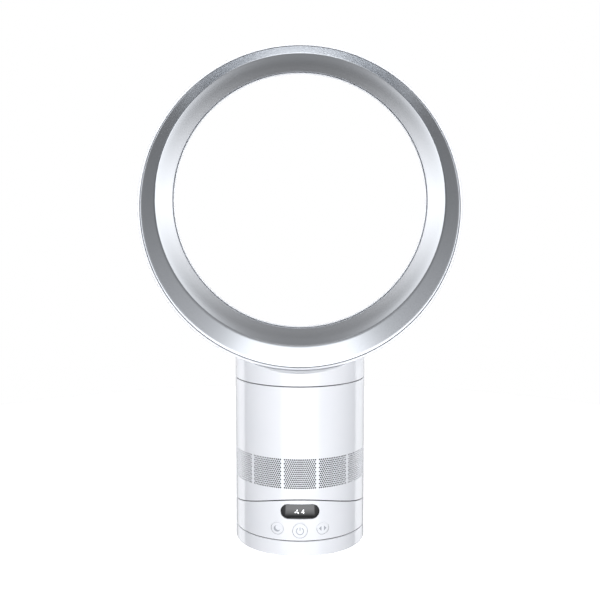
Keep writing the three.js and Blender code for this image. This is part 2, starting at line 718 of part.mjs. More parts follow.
// The fixed half of the twist lock: a lug enters at each notch and turns in under the shelf.
function lockCollar() {
  const { lugs, start, entryHalf, turn: twist, lugR, spigotR, play } = LOCK;
  const { lugTop, shelf, collar, collarTop } = LOCK_Z;
  const groove = lugR + play;
  const bore = spigotR + play;
  const outline = [
    [groove, collar], [FIT_R, collar], [FIT_R, collarTop], [bore, collarTop], [bore, shelf], [groove, shelf],
  ];
  const entries = [];
  for (let lug = 0; lug < lugs; lug++) {
    const centre = rad(start + (360 / lugs) * lug + twist);
    const shape = sectorShape(bore - SKIN, groove, centre - rad(entryHalf), centre + rad(entryHalf));
    entries.push(plate(shape, lugTop - OVERCUT, collarTop - lugTop + 2 * OVERCUT, 4));
  }
  return surface(cut(solid(turn(outline, FACETS)), ...entries));
}

// A mixed-flow wheel: twisted blades on a hub that widens upwards.
function impeller() {
  const { bottom, top, bladeBottom, bladeTop, blades, twist, blade: thick, tipGap } = IMPELLER;
  const profile = IMPELLER.hub.map(([r, height]) => [r, bottom + height]);
  const hubAt = (z) => {
    const i = Math.max(1, profile.findIndex(([, height]) => height >= z));
    const [[r0, z0], [r1, z1]] = [profile[i - 1], profile[i]];
    return lerp(r0, r1, (z - z0) / (z1 - z0));
  };
  const bore = SHAFT.r + 0.4;
  let wheel = solid(turn([[bore, bottom], ...profile, [bore, top]], 3 * blades));
  for (let i = 0; i < blades; i++) {
    wheel = wheel.add(solid(blade({
      start: (2 * Math.PI * i) / blades,
      twist: rad(twist),
      thick,
      z0: bladeBottom,
      z1: bladeTop,
      root: (z) => hubAt(z) - 1,
      tip: (z) => ductRadius(z) - tipGap,
      steps: 4,
    })));
  }
  return surface(wheel);
}

function rotor() {
  const { bottom, top, bore, airGap } = STATOR;
  return group(
    piece('impeller', impeller(), IMPELLER_GREY),
    piece('motor_shaft', rodZ(SHAFT.r, SHAFT.bottom, SHAFT.top, 0, 0, 16), STEEL),
    piece('rotor_core', ring(SHAFT.r + GAP, bore - airGap, bottom, top), IRON),
  );
}

function body() {
  const { r, bore, lowerZ, upperZ, thick } = BEARING;
  const crown = STATOR.top + GAP;
  return group(
    piece('body_sleeve', bodySleeve(), WHITE),
    piece('body_floor', bodyFloor(), WHITE),
    piece('tilt_runner_left', tiltRunner(-1), ACETAL),
    piece('tilt_runner_right', tiltRunner(1), ACETAL),
    piece('motor_board', motorBoard(), CIRCUIT),
    piece('bellmouth', bellmouth(), INNER_WHITE),
    piece('isolation_ring', ring(ISOLATOR.inner, ISOLATOR.outer, ISOLATOR.bottom, ISOLATOR.top), RUBBER),
    piece('impeller_duct', impellerDuct(), INNER_WHITE),
    piece('motor_bucket', motorBucket(), INNER_GREY),
    piece('bucket_cover', bucketCover(), INNER_GREY),
    piece('motor_stator', motorStator(), IRON),
    piece('motor_windings', ring(WINDING.inner, WINDING.outer, crown, BUCKET.top - GAP), COPPER),
    piece('bearing_lower', ring(bore, r, lowerZ, lowerZ + thick, 16), STEEL),
    piece('bearing_upper', ring(bore, r, upperZ, upperZ + thick, 16), STEEL),
    piece('silencing_foam', ring(FOAM.inner, FOAM.outer, FOAM.bottom, FOAM.top), FOAM_GREY),
    piece('lock_collar', lockCollar(), INNER_WHITE),
    piece('neck_seal', ring(LOCK.seal, LOCK.spigotR, NECK.sealBottom, LOCK_Z.spigot - GAP), RUBBER),
    rotor(),
  );
}

// ---- Loop: twists in its lock on the body -------------------------------------------------------

// Turns a section of [radius, depth] about the bore. How far out a point lies sets how much of the
// outer circle's lower centre it takes, so the bore stays round and the section deepens to the neck.
function loopRing(section, innerR, outerR) {
  const geometry = turnAboutY(section, LOOP_FACETS);
  const place = geometry.attributes.position;
  for (let i = 0; i < place.count; i++) {
    const r = Math.hypot(place.getX(i), place.getZ(i));
    const share = THREE.MathUtils.clamp((r - innerR) / (outerR - innerR), 0, 1);
    place.setZ(i, place.getZ(i) + BORE_Z - share * BORE_LIFT);
  }
  geometry.deleteAttribute('normal');
  geometry.deleteAttribute('uv');
  return geometry;
}

const portShape = (grow, z0, z1) =>
  rodZ(1, z0, z1, 0, 0, 28).scale(PORT.x + grow, PORT.y + grow, 1);

const portCutter = (grow) => portShape(grow, NECK.bottom, PORT.top + 2 * PORT.wall);

// The casing wraps round the rear and ends in a thin lip inside the bore.
function loopOuterShell() {
  const { r, front, rear, throatR, lipY } = LOOP;
  const lipR = throatR + SLOT.inner;
  const straightTo = -6; // the outside is a plain cylinder as far back as this
  const outside = [
    [r, front], [r, straightTo], [r - 1.2, 22], [r - 4.6, 37], [r - 10.5, 46], [r - 17, rear - 0.2],
    [r - 23, rear - 1.2], [throatR, rear - 8], [throatR, lipY],
  ];
  const inside = [
    [lipR, lipY], [lipR, rear - 9], [r - 21.5, rear - 3.6], [r - 16.6, rear - 2.8], [r - 12, 43.6],
    [r - 6.8, 35.4], [r - 3.7, 21.4], [r - WALL, straightTo], [r - WALL, front],
  ];
  const shell = solid(loopRing([...outside, ...inside], lipR, r - WALL));
  return surface(cut(shell, portCutter(LOCK.play)));
}

// The silver shell: a bevel from the rim in to the crease, then the long inner face back to the slot.
function loopInnerShell() {
  const { r, front, creaseR, creaseY, throatR, lipY, tailY } = LOOP;
  const rimR = r - WALL - RIM_GAP;
  const slotR = throatR + SLOT.inner + SLOT.open;
  const flare = 0.6; // the tail opens a little on both sides of its narrowest place
  const [waistR, waistY] = LOOP.waist;
  const bend = [slotR + flare, LOOP.bendY];
  const tail = [[slotR, lipY], [slotR + flare, tailY]];
  const face = [[rimR, front], [creaseR, creaseY], [waistR, waistY], bend, ...tail];
  const back = [
    [slotR + SKIN + flare, tailY], [slotR + SKIN, lipY], [bend[0] + SKIN, bend[1] + 0.4],
    [waistR + SKIN, waistY + 0.3], [creaseR + 1.8, creaseY + 1.6], [rimR, front + SKIN + 0.6],
  ];
  let shell = solid(loopRing([...face, ...back], creaseR, rimR));
  const { spacers, spacer, inner } = SLOT;
  for (let i = 0; i < spacers; i++) {
    const angle = (2 * Math.PI * (i + 0.5)) / spacers;
    const rib = box(-spacer, spacer, lipY + 1.5, tailY - 0.5, throatR + inner + GAP, slotR + 1);
    shell = shell.add(solid(rib.rotateY(angle).translate(0, 0, BORE_Z)));
  }
  return surface(shell);
}

// The neck carries the loop in a saddle. Its collar leads the air into the casing's port, and the
// spigot inside it has the lugs of the twist lock.
function loopNeck() {
  const { lugs, start, lugHalf, lugR, spigotR, spigotIn } = LOCK;
  const { spigot, lugTop } = LOCK_Z;
  const { bottom, web, tall } = NECK;
  const saddleR = LOOP.r + NECK.saddleGap;
  const tube = solid(turn([
    [spigotIn, spigot], [spigotR, spigot], [spigotR, web], [INNER_R, web], [INNER_R, bottom],
    [BODY_R, bottom], [BODY_R, tall], [INNER_R, tall], [INNER_R, web + WALL], [spigotIn, web + WALL],
  ], FACETS));
  const drum = (r) => solid(rodY(r, -DRUM_LENGTH / 2, DRUM_LENGTH / 2, 0, LOOP_Z, DRUM_FACETS));
  const column = solid(rodZ(INNER_R + WALL / 5, web + OVERCUT, tall, 0, 0, FACETS));
  const saddle = column.intersect(drum(saddleR + WALL));
  const port = portCutter(-PORT.wall);
  const shell = cut(tube.add(saddle).subtract(drum(saddleR)), port);
  const collar = solid(portShape(0, PORT.bottom, PORT.top)).subtract(solid(port));
  const belowSaddle = solid(portCutter(1)).subtract(drum(saddleR + WALL));
  let neck = shell.add(collar.subtract(belowSaddle));
  for (let lug = 0; lug < lugs; lug++) {
    const centre = rad(start + (360 / lugs) * lug);
    const shape = sectorShape(spigotR - LOCK_Z.root, lugR, centre - rad(lugHalf), centre + rad(lugHalf));
    neck = neck.add(solid(plate(shape, spigot, lugTop - spigot, 4)));
  }
  return surface(neck);
}

function loop() {
  return group(
    piece('loop_neck', loopNeck(), WHITE),
    piece('loop_outer_shell', loopOuterShell(), WHITE),
    piece('loop_inner_shell', loopInnerShell(), SILVER),
  );
}

// ---- The whole fan, nested as it is carried -----------------------------------------------------

const upper = body();
upper.add(loop());
const control = controlSection();
control.add(upper);
const fan = foot();
fan.add(control);
fan.name = 'bladeless_fan';

export default fan;
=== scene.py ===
import json
import math

import bmesh
import bpy
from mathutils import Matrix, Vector


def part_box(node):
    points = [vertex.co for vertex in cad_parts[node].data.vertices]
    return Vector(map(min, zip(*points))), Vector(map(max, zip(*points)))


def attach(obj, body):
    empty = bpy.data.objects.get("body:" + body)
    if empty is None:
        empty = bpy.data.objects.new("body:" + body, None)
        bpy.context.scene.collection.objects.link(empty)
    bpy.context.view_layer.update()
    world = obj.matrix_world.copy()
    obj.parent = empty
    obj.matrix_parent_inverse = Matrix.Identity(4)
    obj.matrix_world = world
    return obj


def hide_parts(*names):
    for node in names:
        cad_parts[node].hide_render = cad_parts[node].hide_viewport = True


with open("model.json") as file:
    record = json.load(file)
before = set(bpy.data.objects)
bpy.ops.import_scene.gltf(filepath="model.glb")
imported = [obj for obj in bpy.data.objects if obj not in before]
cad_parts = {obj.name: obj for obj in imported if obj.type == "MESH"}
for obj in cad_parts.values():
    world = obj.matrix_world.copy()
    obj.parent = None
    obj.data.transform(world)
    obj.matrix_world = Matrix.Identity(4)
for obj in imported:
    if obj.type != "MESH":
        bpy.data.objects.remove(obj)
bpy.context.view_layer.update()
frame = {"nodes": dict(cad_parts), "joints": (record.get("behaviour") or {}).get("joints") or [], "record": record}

bl_info = {
    "name": "Bladeless desk fan",
    "version": (1, 0, 0),
    "blender": (4, 5, 0),
    "location": "3D View > Sidebar > Fan",
    "description": "Dresses the frame of a bladeless desk fan: casings, loop, controls, finishes and studio",
    "category": "Object",
}

MM = 0.001

# ---- Sizes, in millimetres ----
# Those that the frame carries are read from it. The front of the fan faces -Y.


def box_mm(node):
    """The lowest and highest corner of a node, in millimetres."""
    low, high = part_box(node)
    return low / MM, high / MM


FOOT_LOW, FOOT_HIGH = box_mm("foot_shell")
SLEEVE_HIGH = box_mm("body_sleeve")[1]
LOOP_LOW, LOOP_HIGH = box_mm("loop_outer_shell")
TILT_Z = next(j["pos_m"][2] for j in frame["joints"] if j["name"] == "tilt") / MM

BODY_R = FOOT_HIGH.x
WALL = 2.5
SEAM = 1.0  # open line between two casings
GAP = 0.3  # clearance between pieces that bear on each other
INNER_R = BODY_R - WALL
FIT_R = box_mm("cradle_plate")[1].y  # a round piece that stands inside a casing
EDGE = 0.4  # rounding of the casings' edges
AROUND = 288  # segments round the body
LOOP_AROUND = 320

FOOT = {"rim": FOOT_LOW.z, "top": FOOT_HIGH.z, "hole": 17.5, "deck": 2.2, "corner": 4.6}
GLAND = {"z": 10.2, "r": 4.7}
TILT_R = 175.0  # of the curved seam, about the tilt axis
PILL = {"half": 20.9, "z": 51.6, "r": 8.05, "gap": 0.35, "sink": 0.1}
POWER = {"x": 0.0, "z": 30.2, "r": 7.9}
SLEEP = {"x": -24.8, "z": 31.8, "r": 6.4}
SWING = {"x": 24.8, "z": 31.8, "r": 6.4}
BUTTON_GAP = 0.4
BUTTON_SHOWN_GAP = 0.25  # once its rim is rounded
BUTTON_SINK = 0.2
CAP_DEPTH = 4.6  # from the front of a button's box to the back of its cap
DISH = {"half": 9.4, "depth": 1.3, "lift": 1.5}  # the hollow that a fingertip finds the power button by
INK = 0.05  # thickness of printed symbols
INK_ROOT = 0.3  # how far below the surface a symbol's plate starts
STROKE = 0.85  # width of the power symbol's lines
GLOW = {"fan_x": -3.4, "digit_x": 3.3, "lift": 0.02}  # the lit symbols in the window
CUT_BEFORE, CUT_BEHIND = 2.0, 18.0  # reach of the front openings' cutters from the casing's face
CASING_ROWS = 18  # rows of faces up the control section's side

SLEEVE_TOP = SLEEVE_HIGH.z
BAND = {"middle": 93.35, "panels": 12, "rows": 15, "columns": 16, "pitch": 2.25, "row": 2.22, "flank": 0.86}
HOLE_R = 1.0
BAND_WALL = 0.6
BAND_SLOPE = 1.5  # height of the slope from the thick wall to the thin one
SCREEN = {"half": 18.0, "clear": 0.15, "thick": 1.0, "heel": 0.7, "shoulder": 1.2}

RUNNER = {"half": 47.0, "web": 2.5, "clear": 0.6}  # slots in the cradle, for the body's tilt runners
WIRES = {"x": 8.0, "y": 12.2}  # half sizes of the port for the wires
CRADLE_CUT = (30.0, 70.0)  # heights between which the cutters pass through the cradle
SHADE_SEAL = {"inside": 0.5, "sunk": 1.1, "clear": 0.2}  # of the black rings in the open seams, which are painted shade

NECK = {"bottom": 189.4, "web": 193.0, "port": 34.0, "shoulder": 1.1, "saddle_gap": 0.4}
SPIGOT = {"outer": 65.8, "inner": 63.4, "bottom": 177.0}

LOOP_R = LOOP_HIGH.x
LOOP_Z = LOOP_HIGH.z - LOOP_R
BORE_LIFT = 8.2  # the bore's axis above the outer circle's
BORE_Z = LOOP_Z + BORE_LIFT
FRONT, REAR = LOOP_LOW.y, LOOP_HIGH.y
THROAT_R = 145.9
LIP = 1.2
LIP_TIP = 0.7  # thickness at its front edge
LIP_Y = 31.0
RIM_R = LOOP_R - WALL - 0.4
CREASE = (156.6, -44.0)
SLOT_R = THROAT_R + LIP + 1.5
SLOT_OPEN = 0.4  # at its mouth, where the silver shell swells towards the lip
SILVER_WALL = 2.0

SHARP = 32  # degrees; edges that turn by more stay sharp
SHARP_SILVER = 24
ON_FACE, FACING = 1e-5, 0.97  # metres off a cylinder, and cosine to it, that still count as its surface

# The photograph is 600 by 600 pixels, and this focal length in pixels fits its outlines.
PHOTO_SIDE = 600
FOCAL_PX = 950
SENSOR = 36.0
CAMERA_PLACE = (0.0, -1.0741, 0.3863)
CAMERA_PITCH = math.radians(5.92)

# The studio's light, as strengths against a direction. Heights run from 0, straight down, to 1, straight up;
# REAR_HEIGHT and WALL_HEIGHT from 0, level, to 1, up or down. Widths are across the view, and FRONT_SIDE
# runs from 0, behind, to 1, in front.
ROOM = (
    (0.0, 4.2), (0.03, 3.8), (0.06, 1.3), (0.15, 0.36), (0.3, 0.17),
    (0.5, 0.12), (0.68, 0.24), (0.9, 0.3), (1.0, 0.5),
)
FRONT_PANEL = ((0.0, 2.8), (0.5, 2.7), (0.56, 0.6), (0.95, 0.1))
FRONT_SIDE = ((0.5, 0.0), (0.6, 1.0))
FRONT_NARROWS = 0.45  # width that the front panel loses towards its top
FRONT_HEIGHT = ((0.22, 0.0), (0.3, 0.6), (0.42, 1.05), (0.62, 1.0), (0.82, 0.7), (0.92, 0.0))
REAR_PANELS = ((0.42, 0.0), (0.46, 2.5), (0.7, 1.9), (0.84, 1.2), (0.88, 0.3), (0.92, 0.0))
REAR_HEIGHT = ((0.4, 1.0), (0.55, 0.0))
WALL_HEIGHT = ((0.0, 1.6), (0.09, 1.2), (0.17, 0.8), (0.26, 0.3), (0.31, 0.05), (0.36, 0.0))
WALL_WIDTH = ((0.8, 0.0), (0.9, 1.0))
OVERHEAD = {"place": (0, 0.1, 2.4), "width": 1.6, "height": 1.4, "watts": 24}  # metres and watts
FLOOR_Z = -0.05  # just under the pads
FLOOR_GLOW = 0.5

# ---- Meshes ----


def on_body(r, turn, z):
    """A point round the body's axis, in mm. A turn of 0 is the front."""
    return Vector((r * math.sin(turn), -r * math.cos(turn), z))


def on_loop(r, y, turn, inner, outer):
    """A point round the loop. Further out it takes more of the outer circle's lower centre, so that the
    bore is round and the section deepens towards the neck."""
    share = min(max((r - inner) / (outer - inner), 0), 1)
    return Vector((r * math.sin(turn), y, BORE_Z - share * BORE_LIFT + r * math.cos(turn)))


def turns(count):
    """Angles evenly spaced round a circle."""
    return [2 * math.pi * i / count for i in range(count)]


def rounded(outline, steps=4):
    """A closed outline of (x, y, radius) corners, with each corner that has a radius turned into an arc."""
    made = []
    for i, (x, y, radius) in enumerate(outline):
        here = Vector((x, y))
        before = Vector(outline[i - 1][:2]) - here
        after = Vector(outline[(i + 1) % len(outline)][:2]) - here
        if not radius:
            made.append(here)
            continue
        half = before.angle(after) / 2
        reach = min(radius / math.tan(half), 0.49 * before.length, 0.49 * after.length)
        middle = before.normalized() + after.normalized()
        centre = here + middle.normalized() * (reach / math.cos(half))
        spoke = here + before.normalized() * reach - centre
        last = here + after.normalized() * reach - centre
        sweep = math.atan2(spoke.x * last.y - spoke.y * last.x, spoke.dot(last))
        for step in range(steps + 1):
            angle = sweep * step / steps
            c, s = math.cos(angle), math.sin(angle)
            made.append(centre + Vector((spoke.x * c - spoke.y * s, spoke.x * s + spoke.y * c)))
    return made


def curve(points, steps=6):
    """A smooth line through the points, ends included."""
    padded = [points[0], *points, points[-1]]
    made = []
    for a, b, c, d in zip(padded, padded[1:], padded[2:], padded[3:]):
        a, b, c, d = Vector(a), Vector(b), Vector(c), Vector(d)
        for step in range(steps):
            t = step / steps
            most = 2 * b + (c - a) * t + (2 * a - 5 * b + 4 * c - d) * t**2
            made.append(0.5 * (most + (3 * b - a - 3 * c + d) * t**3))
    return [*made, Vector(points[-1])]


def rows_between(outline, first, last, count):
    """The outline with its stretch from point first to point last cut into count steps."""
    a, b = outline[first], outline[last]
    between = [a.lerp(b, i / count) for i in range(1, count)]
    return [*outline[: first + 1], *between, *outline[last:]]


def skin(rings, around=True):
    """The faces between closed rings of points, round to the first ring again, or ended by flat caps."""
    faces = []
    for one, other in zip(rings, [*rings[1:], rings[0]] if around else rings[1:]):
        for i in range(len(one)):
            j = (i + 1) % len(one)
            faces.append((one[i], one[j], other[j], other[i]))
    return faces if around else [*faces, tuple(rings[0]), tuple(rings[-1])]


def turned(outline, count=AROUND):
    """The skin of a closed outline of (r, z) points turned round the body's axis."""
    return skin([[on_body(r, turn, z) for r, z in outline] for turn in turns(count)])


def circle(x, z, r, count=48):
    """A round (x, z) outline."""
    return [(x + r * math.sin(t), z + r * math.cos(t)) for t in turns(count)]


def prism(outline, y0, y1):
    """A flat (x, z) outline extruded along Y."""
    return skin([[Vector((x, y, z)) for x, z in outline] for y in (y0, y1)], around=False)


def shade(mesh, crease):
    """Smooth faces, with the edges that turn by more than crease degrees left sharp."""
    bm = bmesh.new()
    bm.from_mesh(mesh)
    bmesh.ops.recalc_face_normals(bm, faces=bm.faces)
    for face in bm.faces:
        face.smooth = True
    for edge in bm.edges:
        edge.smooth = len(edge.link_faces) == 2 and edge.calc_face_angle(0) < math.radians(crease)
    bm.to_mesh(mesh)
    bm.free()


def build(name, faces, crease=SHARP):
    """Welds faces, given as points in mm, into a mesh object."""
    bm = bmesh.new()
    corners = {}
    for face in faces:
        ring = []
        for point in face:
            key = tuple(round(c, 3) for c in point)
            if key not in corners:
                corners[key] = bm.verts.new(Vector(point) * MM)
            if corners[key] not in ring:
                ring.append(corners[key])
        if len(ring) > 2:
            bm.faces.new(ring)
    mesh = bpy.data.meshes.new(name)
    bm.to_mesh(mesh)
    bm.free()
    shade(mesh, crease)
    made = bpy.data.objects.new(name, mesh)
    bpy.context.scene.collection.objects.link(made)
    return made


def carve(obj, *cutters):
    """Cuts the cutters' skins out of a piece, and shades it again."""
    for faces in cutters:
        tool = build("cutter", faces)
        change = obj.modifiers.new("cut", "BOOLEAN")
        change.operation, change.solver, change.object = "DIFFERENCE", "EXACT", tool
        bpy.context.view_layer.update()
        done = bpy.data.meshes.new_from_object(obj.evaluated_get(bpy.context.evaluated_depsgraph_get()))
        obj.modifiers.clear()
        spent, obj.data = obj.data, done
        done.name = obj.name
        bpy.data.meshes.remove(spent)
        bpy.data.objects.remove(tool)
    if not obj.data.polygons:
        raise RuntimeError(f"nothing is left of {obj.name}")
    shade(obj.data, SHARP)
    return obj


def true_round(obj, radius):
    """Gives the plain outside of a round casing a true cylinder's normals, so that cuts leave no ripples."""
    mesh = obj.data
    wanted = [Vector(corner.vector) for corner in mesh.corner_normals]
    for face in mesh.polygons:
        for loop in face.loop_indices:
            place = mesh.vertices[mesh.loops[loop].vertex_index].co
            out = Vector((place.x, place.y, 0))
            if abs(out.length - radius * MM) < ON_FACE and face.normal.dot(out.normalized()) > FACING:
                wanted[loop] = out.normalized()
    mesh.normals_split_custom_set(wanted)
    return obj


def dress(obj, body, slot, *stands_for, material=None):
    """Gives a piece the body it moves with and its finish, which is the slot's own unless another is named,
    and hides the CAD nodes it stands for."""
    obj.data.materials.append(MATERIALS[material or FINISHES[slot]])
    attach(obj, body)
    if stands_for:
        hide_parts(*stands_for)
    return obj


# ---- Finishes ----

MATERIALS = {}
WAVE_STEP = 2 * math.pi / 20  # distance between a wave texture's bands, at a scale of 1


def linear(code):
    """An sRGB hex colour as linear red, green and blue with alpha."""
    parts = [int(code[i : i + 2], 16) / 255 for i in (1, 3, 5)]
    return (*[p / 12.92 if p <= 0.04045 else ((p + 0.055) / 1.055) ** 2.4 for p in parts], 1.0)


def add(tree, kind, inputs=None, **settings):
    """Adds a node with its settings, and sets or links its inputs."""
    made = tree.nodes.new(kind)
    for name, value in settings.items():
        setattr(made, name, value)
    for name, value in (inputs or {}).items():
        if isinstance(value, bpy.types.NodeSocket):
            tree.links.new(value, made.inputs[name])
        else:
            made.inputs[name].default_value = value
    return made


def start(name, colour, roughness, metallic=0.0, ior=1.5):
    """A new material's tree, its shader, and the place on the object that its patterns are laid by."""
    made = bpy.data.materials.new(name)
    made.use_nodes = True
    made.diffuse_color = linear(colour)
    tree = made.node_tree
    shader = tree.nodes["Principled BSDF"]
    settings = {"Base Color": linear(colour), "Roughness": roughness, "Metallic": metallic, "IOR": ior}
    for socket, value in settings.items():
        shader.inputs[socket].default_value = value
    MATERIALS[name] = made
    return tree, shader, add(tree, "ShaderNodeTexCoord").outputs["Object"]


def sized(place, millimetres, **more):
    """The inputs of a pattern whose features are so many millimetres in size."""
    return {"Vector": place, "Scale": 1 / (millimetres * MM), **more}


def two_tones(tree, shader, share, one, other, socket="Base Color"):
    """Mixes two hex colours by a pattern into one of the shader's colours."""
    inputs = {0: share, 6: linear(one), 7: linear(other)}
    mixed = add(tree, "ShaderNodeMix", inputs, data_type="RGBA")
    tree.links.new(mixed.outputs[2], shader.inputs[socket])


def spread(tree, value, low, high, from_low=0.3, from_high=0.7):
    """Maps a pattern's value on to a range."""
    settings = {"Value": value, "From Min": from_low, "From Max": from_high, "To Min": low, "To Max": high}
    return add(tree, "ShaderNodeMapRange", settings).outputs["Result"]


def relief(tree, shader, height, depth_mm):
    """Raises the surface by a pattern, as deep as depth_mm."""
    bump = add(tree, "ShaderNodeBump", {"Strength": 1.0, "Distance": depth_mm * MM, "Height": height})
    tree.links.new(bump.outputs["Normal"], shader.inputs["Normal"])


def gloss_abs(colours):
    """Injection-moulded gloss ABS: near-mirror skin, with the slight waviness that thick mouldings have."""
    tree, shader, place = start("Gloss_ABS_injection_moulded", colours.casing, 0.14, ior=1.53)
    wave = add(tree, "ShaderNodeTexNoise", sized(place, 26, Detail=1.0))
    wear = add(tree, "ShaderNodeTexNoise", sized(place, 7, Detail=3.0))
    tree.links.new(spread(tree, wear.outputs["Fac"], 0.11, 0.17), shader.inputs["Roughness"])
    two_tones(tree, shader, wave.outputs["Fac"], colours.casing, colours.casing_shade)
    relief(tree, shader, wave.outputs["Fac"], 0.02)


def metallic_lacquer(colours):
    """Sprayed metallic lacquer on ABS: satin, darker face-on, with aluminium flake that glints."""
    tree, shader, place = start("Metallic_lacquer_sprayed", colours.silver, 0.2, metallic=1.0)
    # Real flake is about 0.03 mm, so it is drawn at 0.5 mm to show.
    flake = add(tree, "ShaderNodeTexVoronoi", sized(place, 0.5))
    tone = spread(tree, flake.outputs["Distance"], 0.0, 1.0, 0.1, 0.6)
    two_tones(tree, shader, tone, colours.silver, colours.silver_shade)
    tree.links.new(spread(tree, flake.outputs["Distance"], 0.18, 0.23, 0.1, 0.6), shader.inputs["Roughness"])


def satin_abs(colours):
    """Spark-eroded satin ABS: the fine grain of button caps, which softens their highlights."""
    tree, shader, place = start("Satin_ABS_spark_eroded", colours.button, 0.34, ior=1.53)
    grain = add(tree, "ShaderNodeTexNoise", sized(place, 0.6, Detail=2.0))
    two_tones(tree, shader, grain.outputs["Fac"], colours.button, colours.casing_shade)
    relief(tree, shader, grain.outputs["Fac"], 0.012)


def printed_ink(colours):
    """Pad-printed grey ink: flat and dull, a little uneven where it is thin."""
    tree, shader, place = start("Pad_printed_ink", colours.ink, 0.5)
    cover = add(tree, "ShaderNodeTexNoise", sized(place, 0.9, Detail=2.0))
    two_tones(tree, shader, cover.outputs["Fac"], colours.ink, "#b3b6bc")


def smoked_acrylic(colours):
    """Polished smoked acrylic under a hard coat: almost black, with a clear reflection and faint dust."""
    tree, shader, place = start("Smoked_acrylic_polished", colours.window, 0.06, ior=1.49)
    shader.inputs["Coat Weight"].default_value = 1.0
    dust = add(tree, "ShaderNodeTexNoise", sized(place, 5, Detail=4.0))
    tree.links.new(spread(tree, dust.outputs["Fac"], 0.05, 0.1), shader.inputs["Roughness"])
    two_tones(tree, shader, dust.outputs["Fac"], colours.window, "#1c1d1f")


def woven_screen(_):
    """Woven black polyester, matt. Its near-black is also painted shade, which keeps the inlet's holes dark."""
    # The near-black tones are partly painted shade for the inlet's holes.
    tree, shader, place = start("Polyester_screen_woven", "#0d0d0f", 0.85)
    # Real threads are about 0.5 mm apart, too fine for the render. They are drawn 3.1 mm apart.
    threads = []
    for direction in ("X", "Z"):
        weave = sized(place, 3.14 / WAVE_STEP, Distortion=0.3)
        threads.append(add(tree, "ShaderNodeTexWave", weave, bands_direction=direction).outputs["Fac"])
    crossing = combine(tree, "MULTIPLY", *threads)
    two_tones(tree, shader, crossing, "#0d0d0f", "#1d1d20")
    relief(tree, shader, crossing, 0.1)


def lit_symbol(colours):
    """Light-emitting segments seen through the window: even and slightly cool."""
    tree, shader, place = start("Display_segments_lit", colours.lit, 0.4)
    glow = add(tree, "ShaderNodeTexNoise", sized(place, 1.5, Detail=1.0))
    two_tones(tree, shader, glow.outputs["Fac"], colours.lit, "#dfe6ea", socket="Emission Color")
    shader.inputs["Emission Strength"].default_value = 0.65


def plain_moulding(name, colour, other, roughness, grain_mm, depth_mm, ior=1.5):
    """A moulded part out of sight: an even colour with the mould's grain."""
    tree, shader, place = start(name, colour, roughness, ior=ior)
    grain = add(tree, "ShaderNodeTexNoise", sized(place, grain_mm, Detail=3.0))
    two_tones(tree, shader, grain.outputs["Fac"], colour, other)
    relief(tree, shader, grain.outputs["Fac"], depth_mm)


def mouldings():
    """The plain moulded and elastomer parts, each after its own plastic."""
    # EPDM: matt black with a bloom, and grippy grain on the pads.
    plain_moulding("EPDM_moulded", "#27282a", "#333437", 0.82, 0.8, 0.03, ior=1.52)
    # ABS inside the fan is left with the tool's dull finish.
    plain_moulding("ABS_tool_finish_grey", "#84878b", "#8f9296", 0.55, 1.2, 0.02, ior=1.53)
    plain_moulding("ABS_tool_finish_white", "#dcdddf", "#d1d3d6", 0.5, 1.2, 0.02, ior=1.53)
    # Acetal is waxy, and slightly yellow beside the white casings.
    plain_moulding("Acetal_moulded", "#e9e6dc", "#e0dccf", 0.4, 2.0, 0.01, ior=1.48)
    # Glass-filled nylon shows its fibres as a fine mottle.
    plain_moulding("Glass_filled_nylon", "#3d4044", "#4a4d51", 0.46, 0.5, 0.02, ior=1.53)
    # Open-cell foam, whose cells are about 0.8 mm, swallows light.
    plain_moulding("Polyurethane_foam_open_cell", "#4a4c4f", "#2c2d2f", 0.95, 0.8, 0.4)


def zinc_steel(_):
    """Zinc-plated steel: bright, with the fine circular marks of turning."""
    tree, shader, place = start("Steel_zinc_plated", "#a9abad", 0.32, metallic=1.0)
    marks = add(tree, "ShaderNodeTexNoise", sized(place, 0.7, Detail=4.0))
    two_tones(tree, shader, marks.outputs["Fac"], "#a9abad", "#8f9194")
    tree.links.new(spread(tree, marks.outputs["Fac"], 0.26, 0.4), shader.inputs["Roughness"])


def laminated_iron(_):
    """Electrical steel stamped in 0.5 mm sheets and stacked: fine lines round its edge."""
    tree, shader, place = start("Electrical_steel_stacked", "#6e7175", 0.5, metallic=0.9)
    # Sheets of 0.5 mm are too fine for the render. Their lines are drawn 3.1 mm apart.
    lines = sized(place, 3.14 / WAVE_STEP, Distortion=0.0)
    sheets = add(tree, "ShaderNodeTexWave", lines, bands_direction="Z")
    two_tones(tree, shader, sheets.outputs["Fac"], "#6e7175", "#4c4f53")
    relief(tree, shader, sheets.outputs["Fac"], 0.05)


def enamelled_copper(_):
    """Enamelled copper wire, wound: warm, glossy turns."""
    tree, shader, place = start("Copper_wire_enamelled", "#b4693a", 0.28, metallic=1.0)
    # Wire of 0.8 mm is too fine for the render. Its turns are drawn 5 mm apart.
    wound = sized(place, 5.03 / WAVE_STEP, Distortion=1.5, Detail=1.0)
    strands = add(tree, "ShaderNodeTexWave", wound, wave_type="RINGS", rings_direction="Z")
    two_tones(tree, shader, strands.outputs["Fac"], "#7c3f1d", "#c47a46")
    relief(tree, shader, strands.outputs["Fac"], 0.3)


def circuit_board(_):
    """Glass-epoxy board under solder resist: green, with paler tracks about 3 mm apart."""
    tree, shader, place = start("Glass_epoxy_solder_resist", "#1f5a3c", 0.4)
    tracks = add(tree, "ShaderNodeTexVoronoi", sized(place, 3), distance="MANHATTAN", feature="F1")
    share = spread(tree, tracks.outputs["Distance"], 0.0, 1.0, 0.45, 0.5)
    two_tones(tree, shader, share, "#1f5a3c", "#2f7a50")


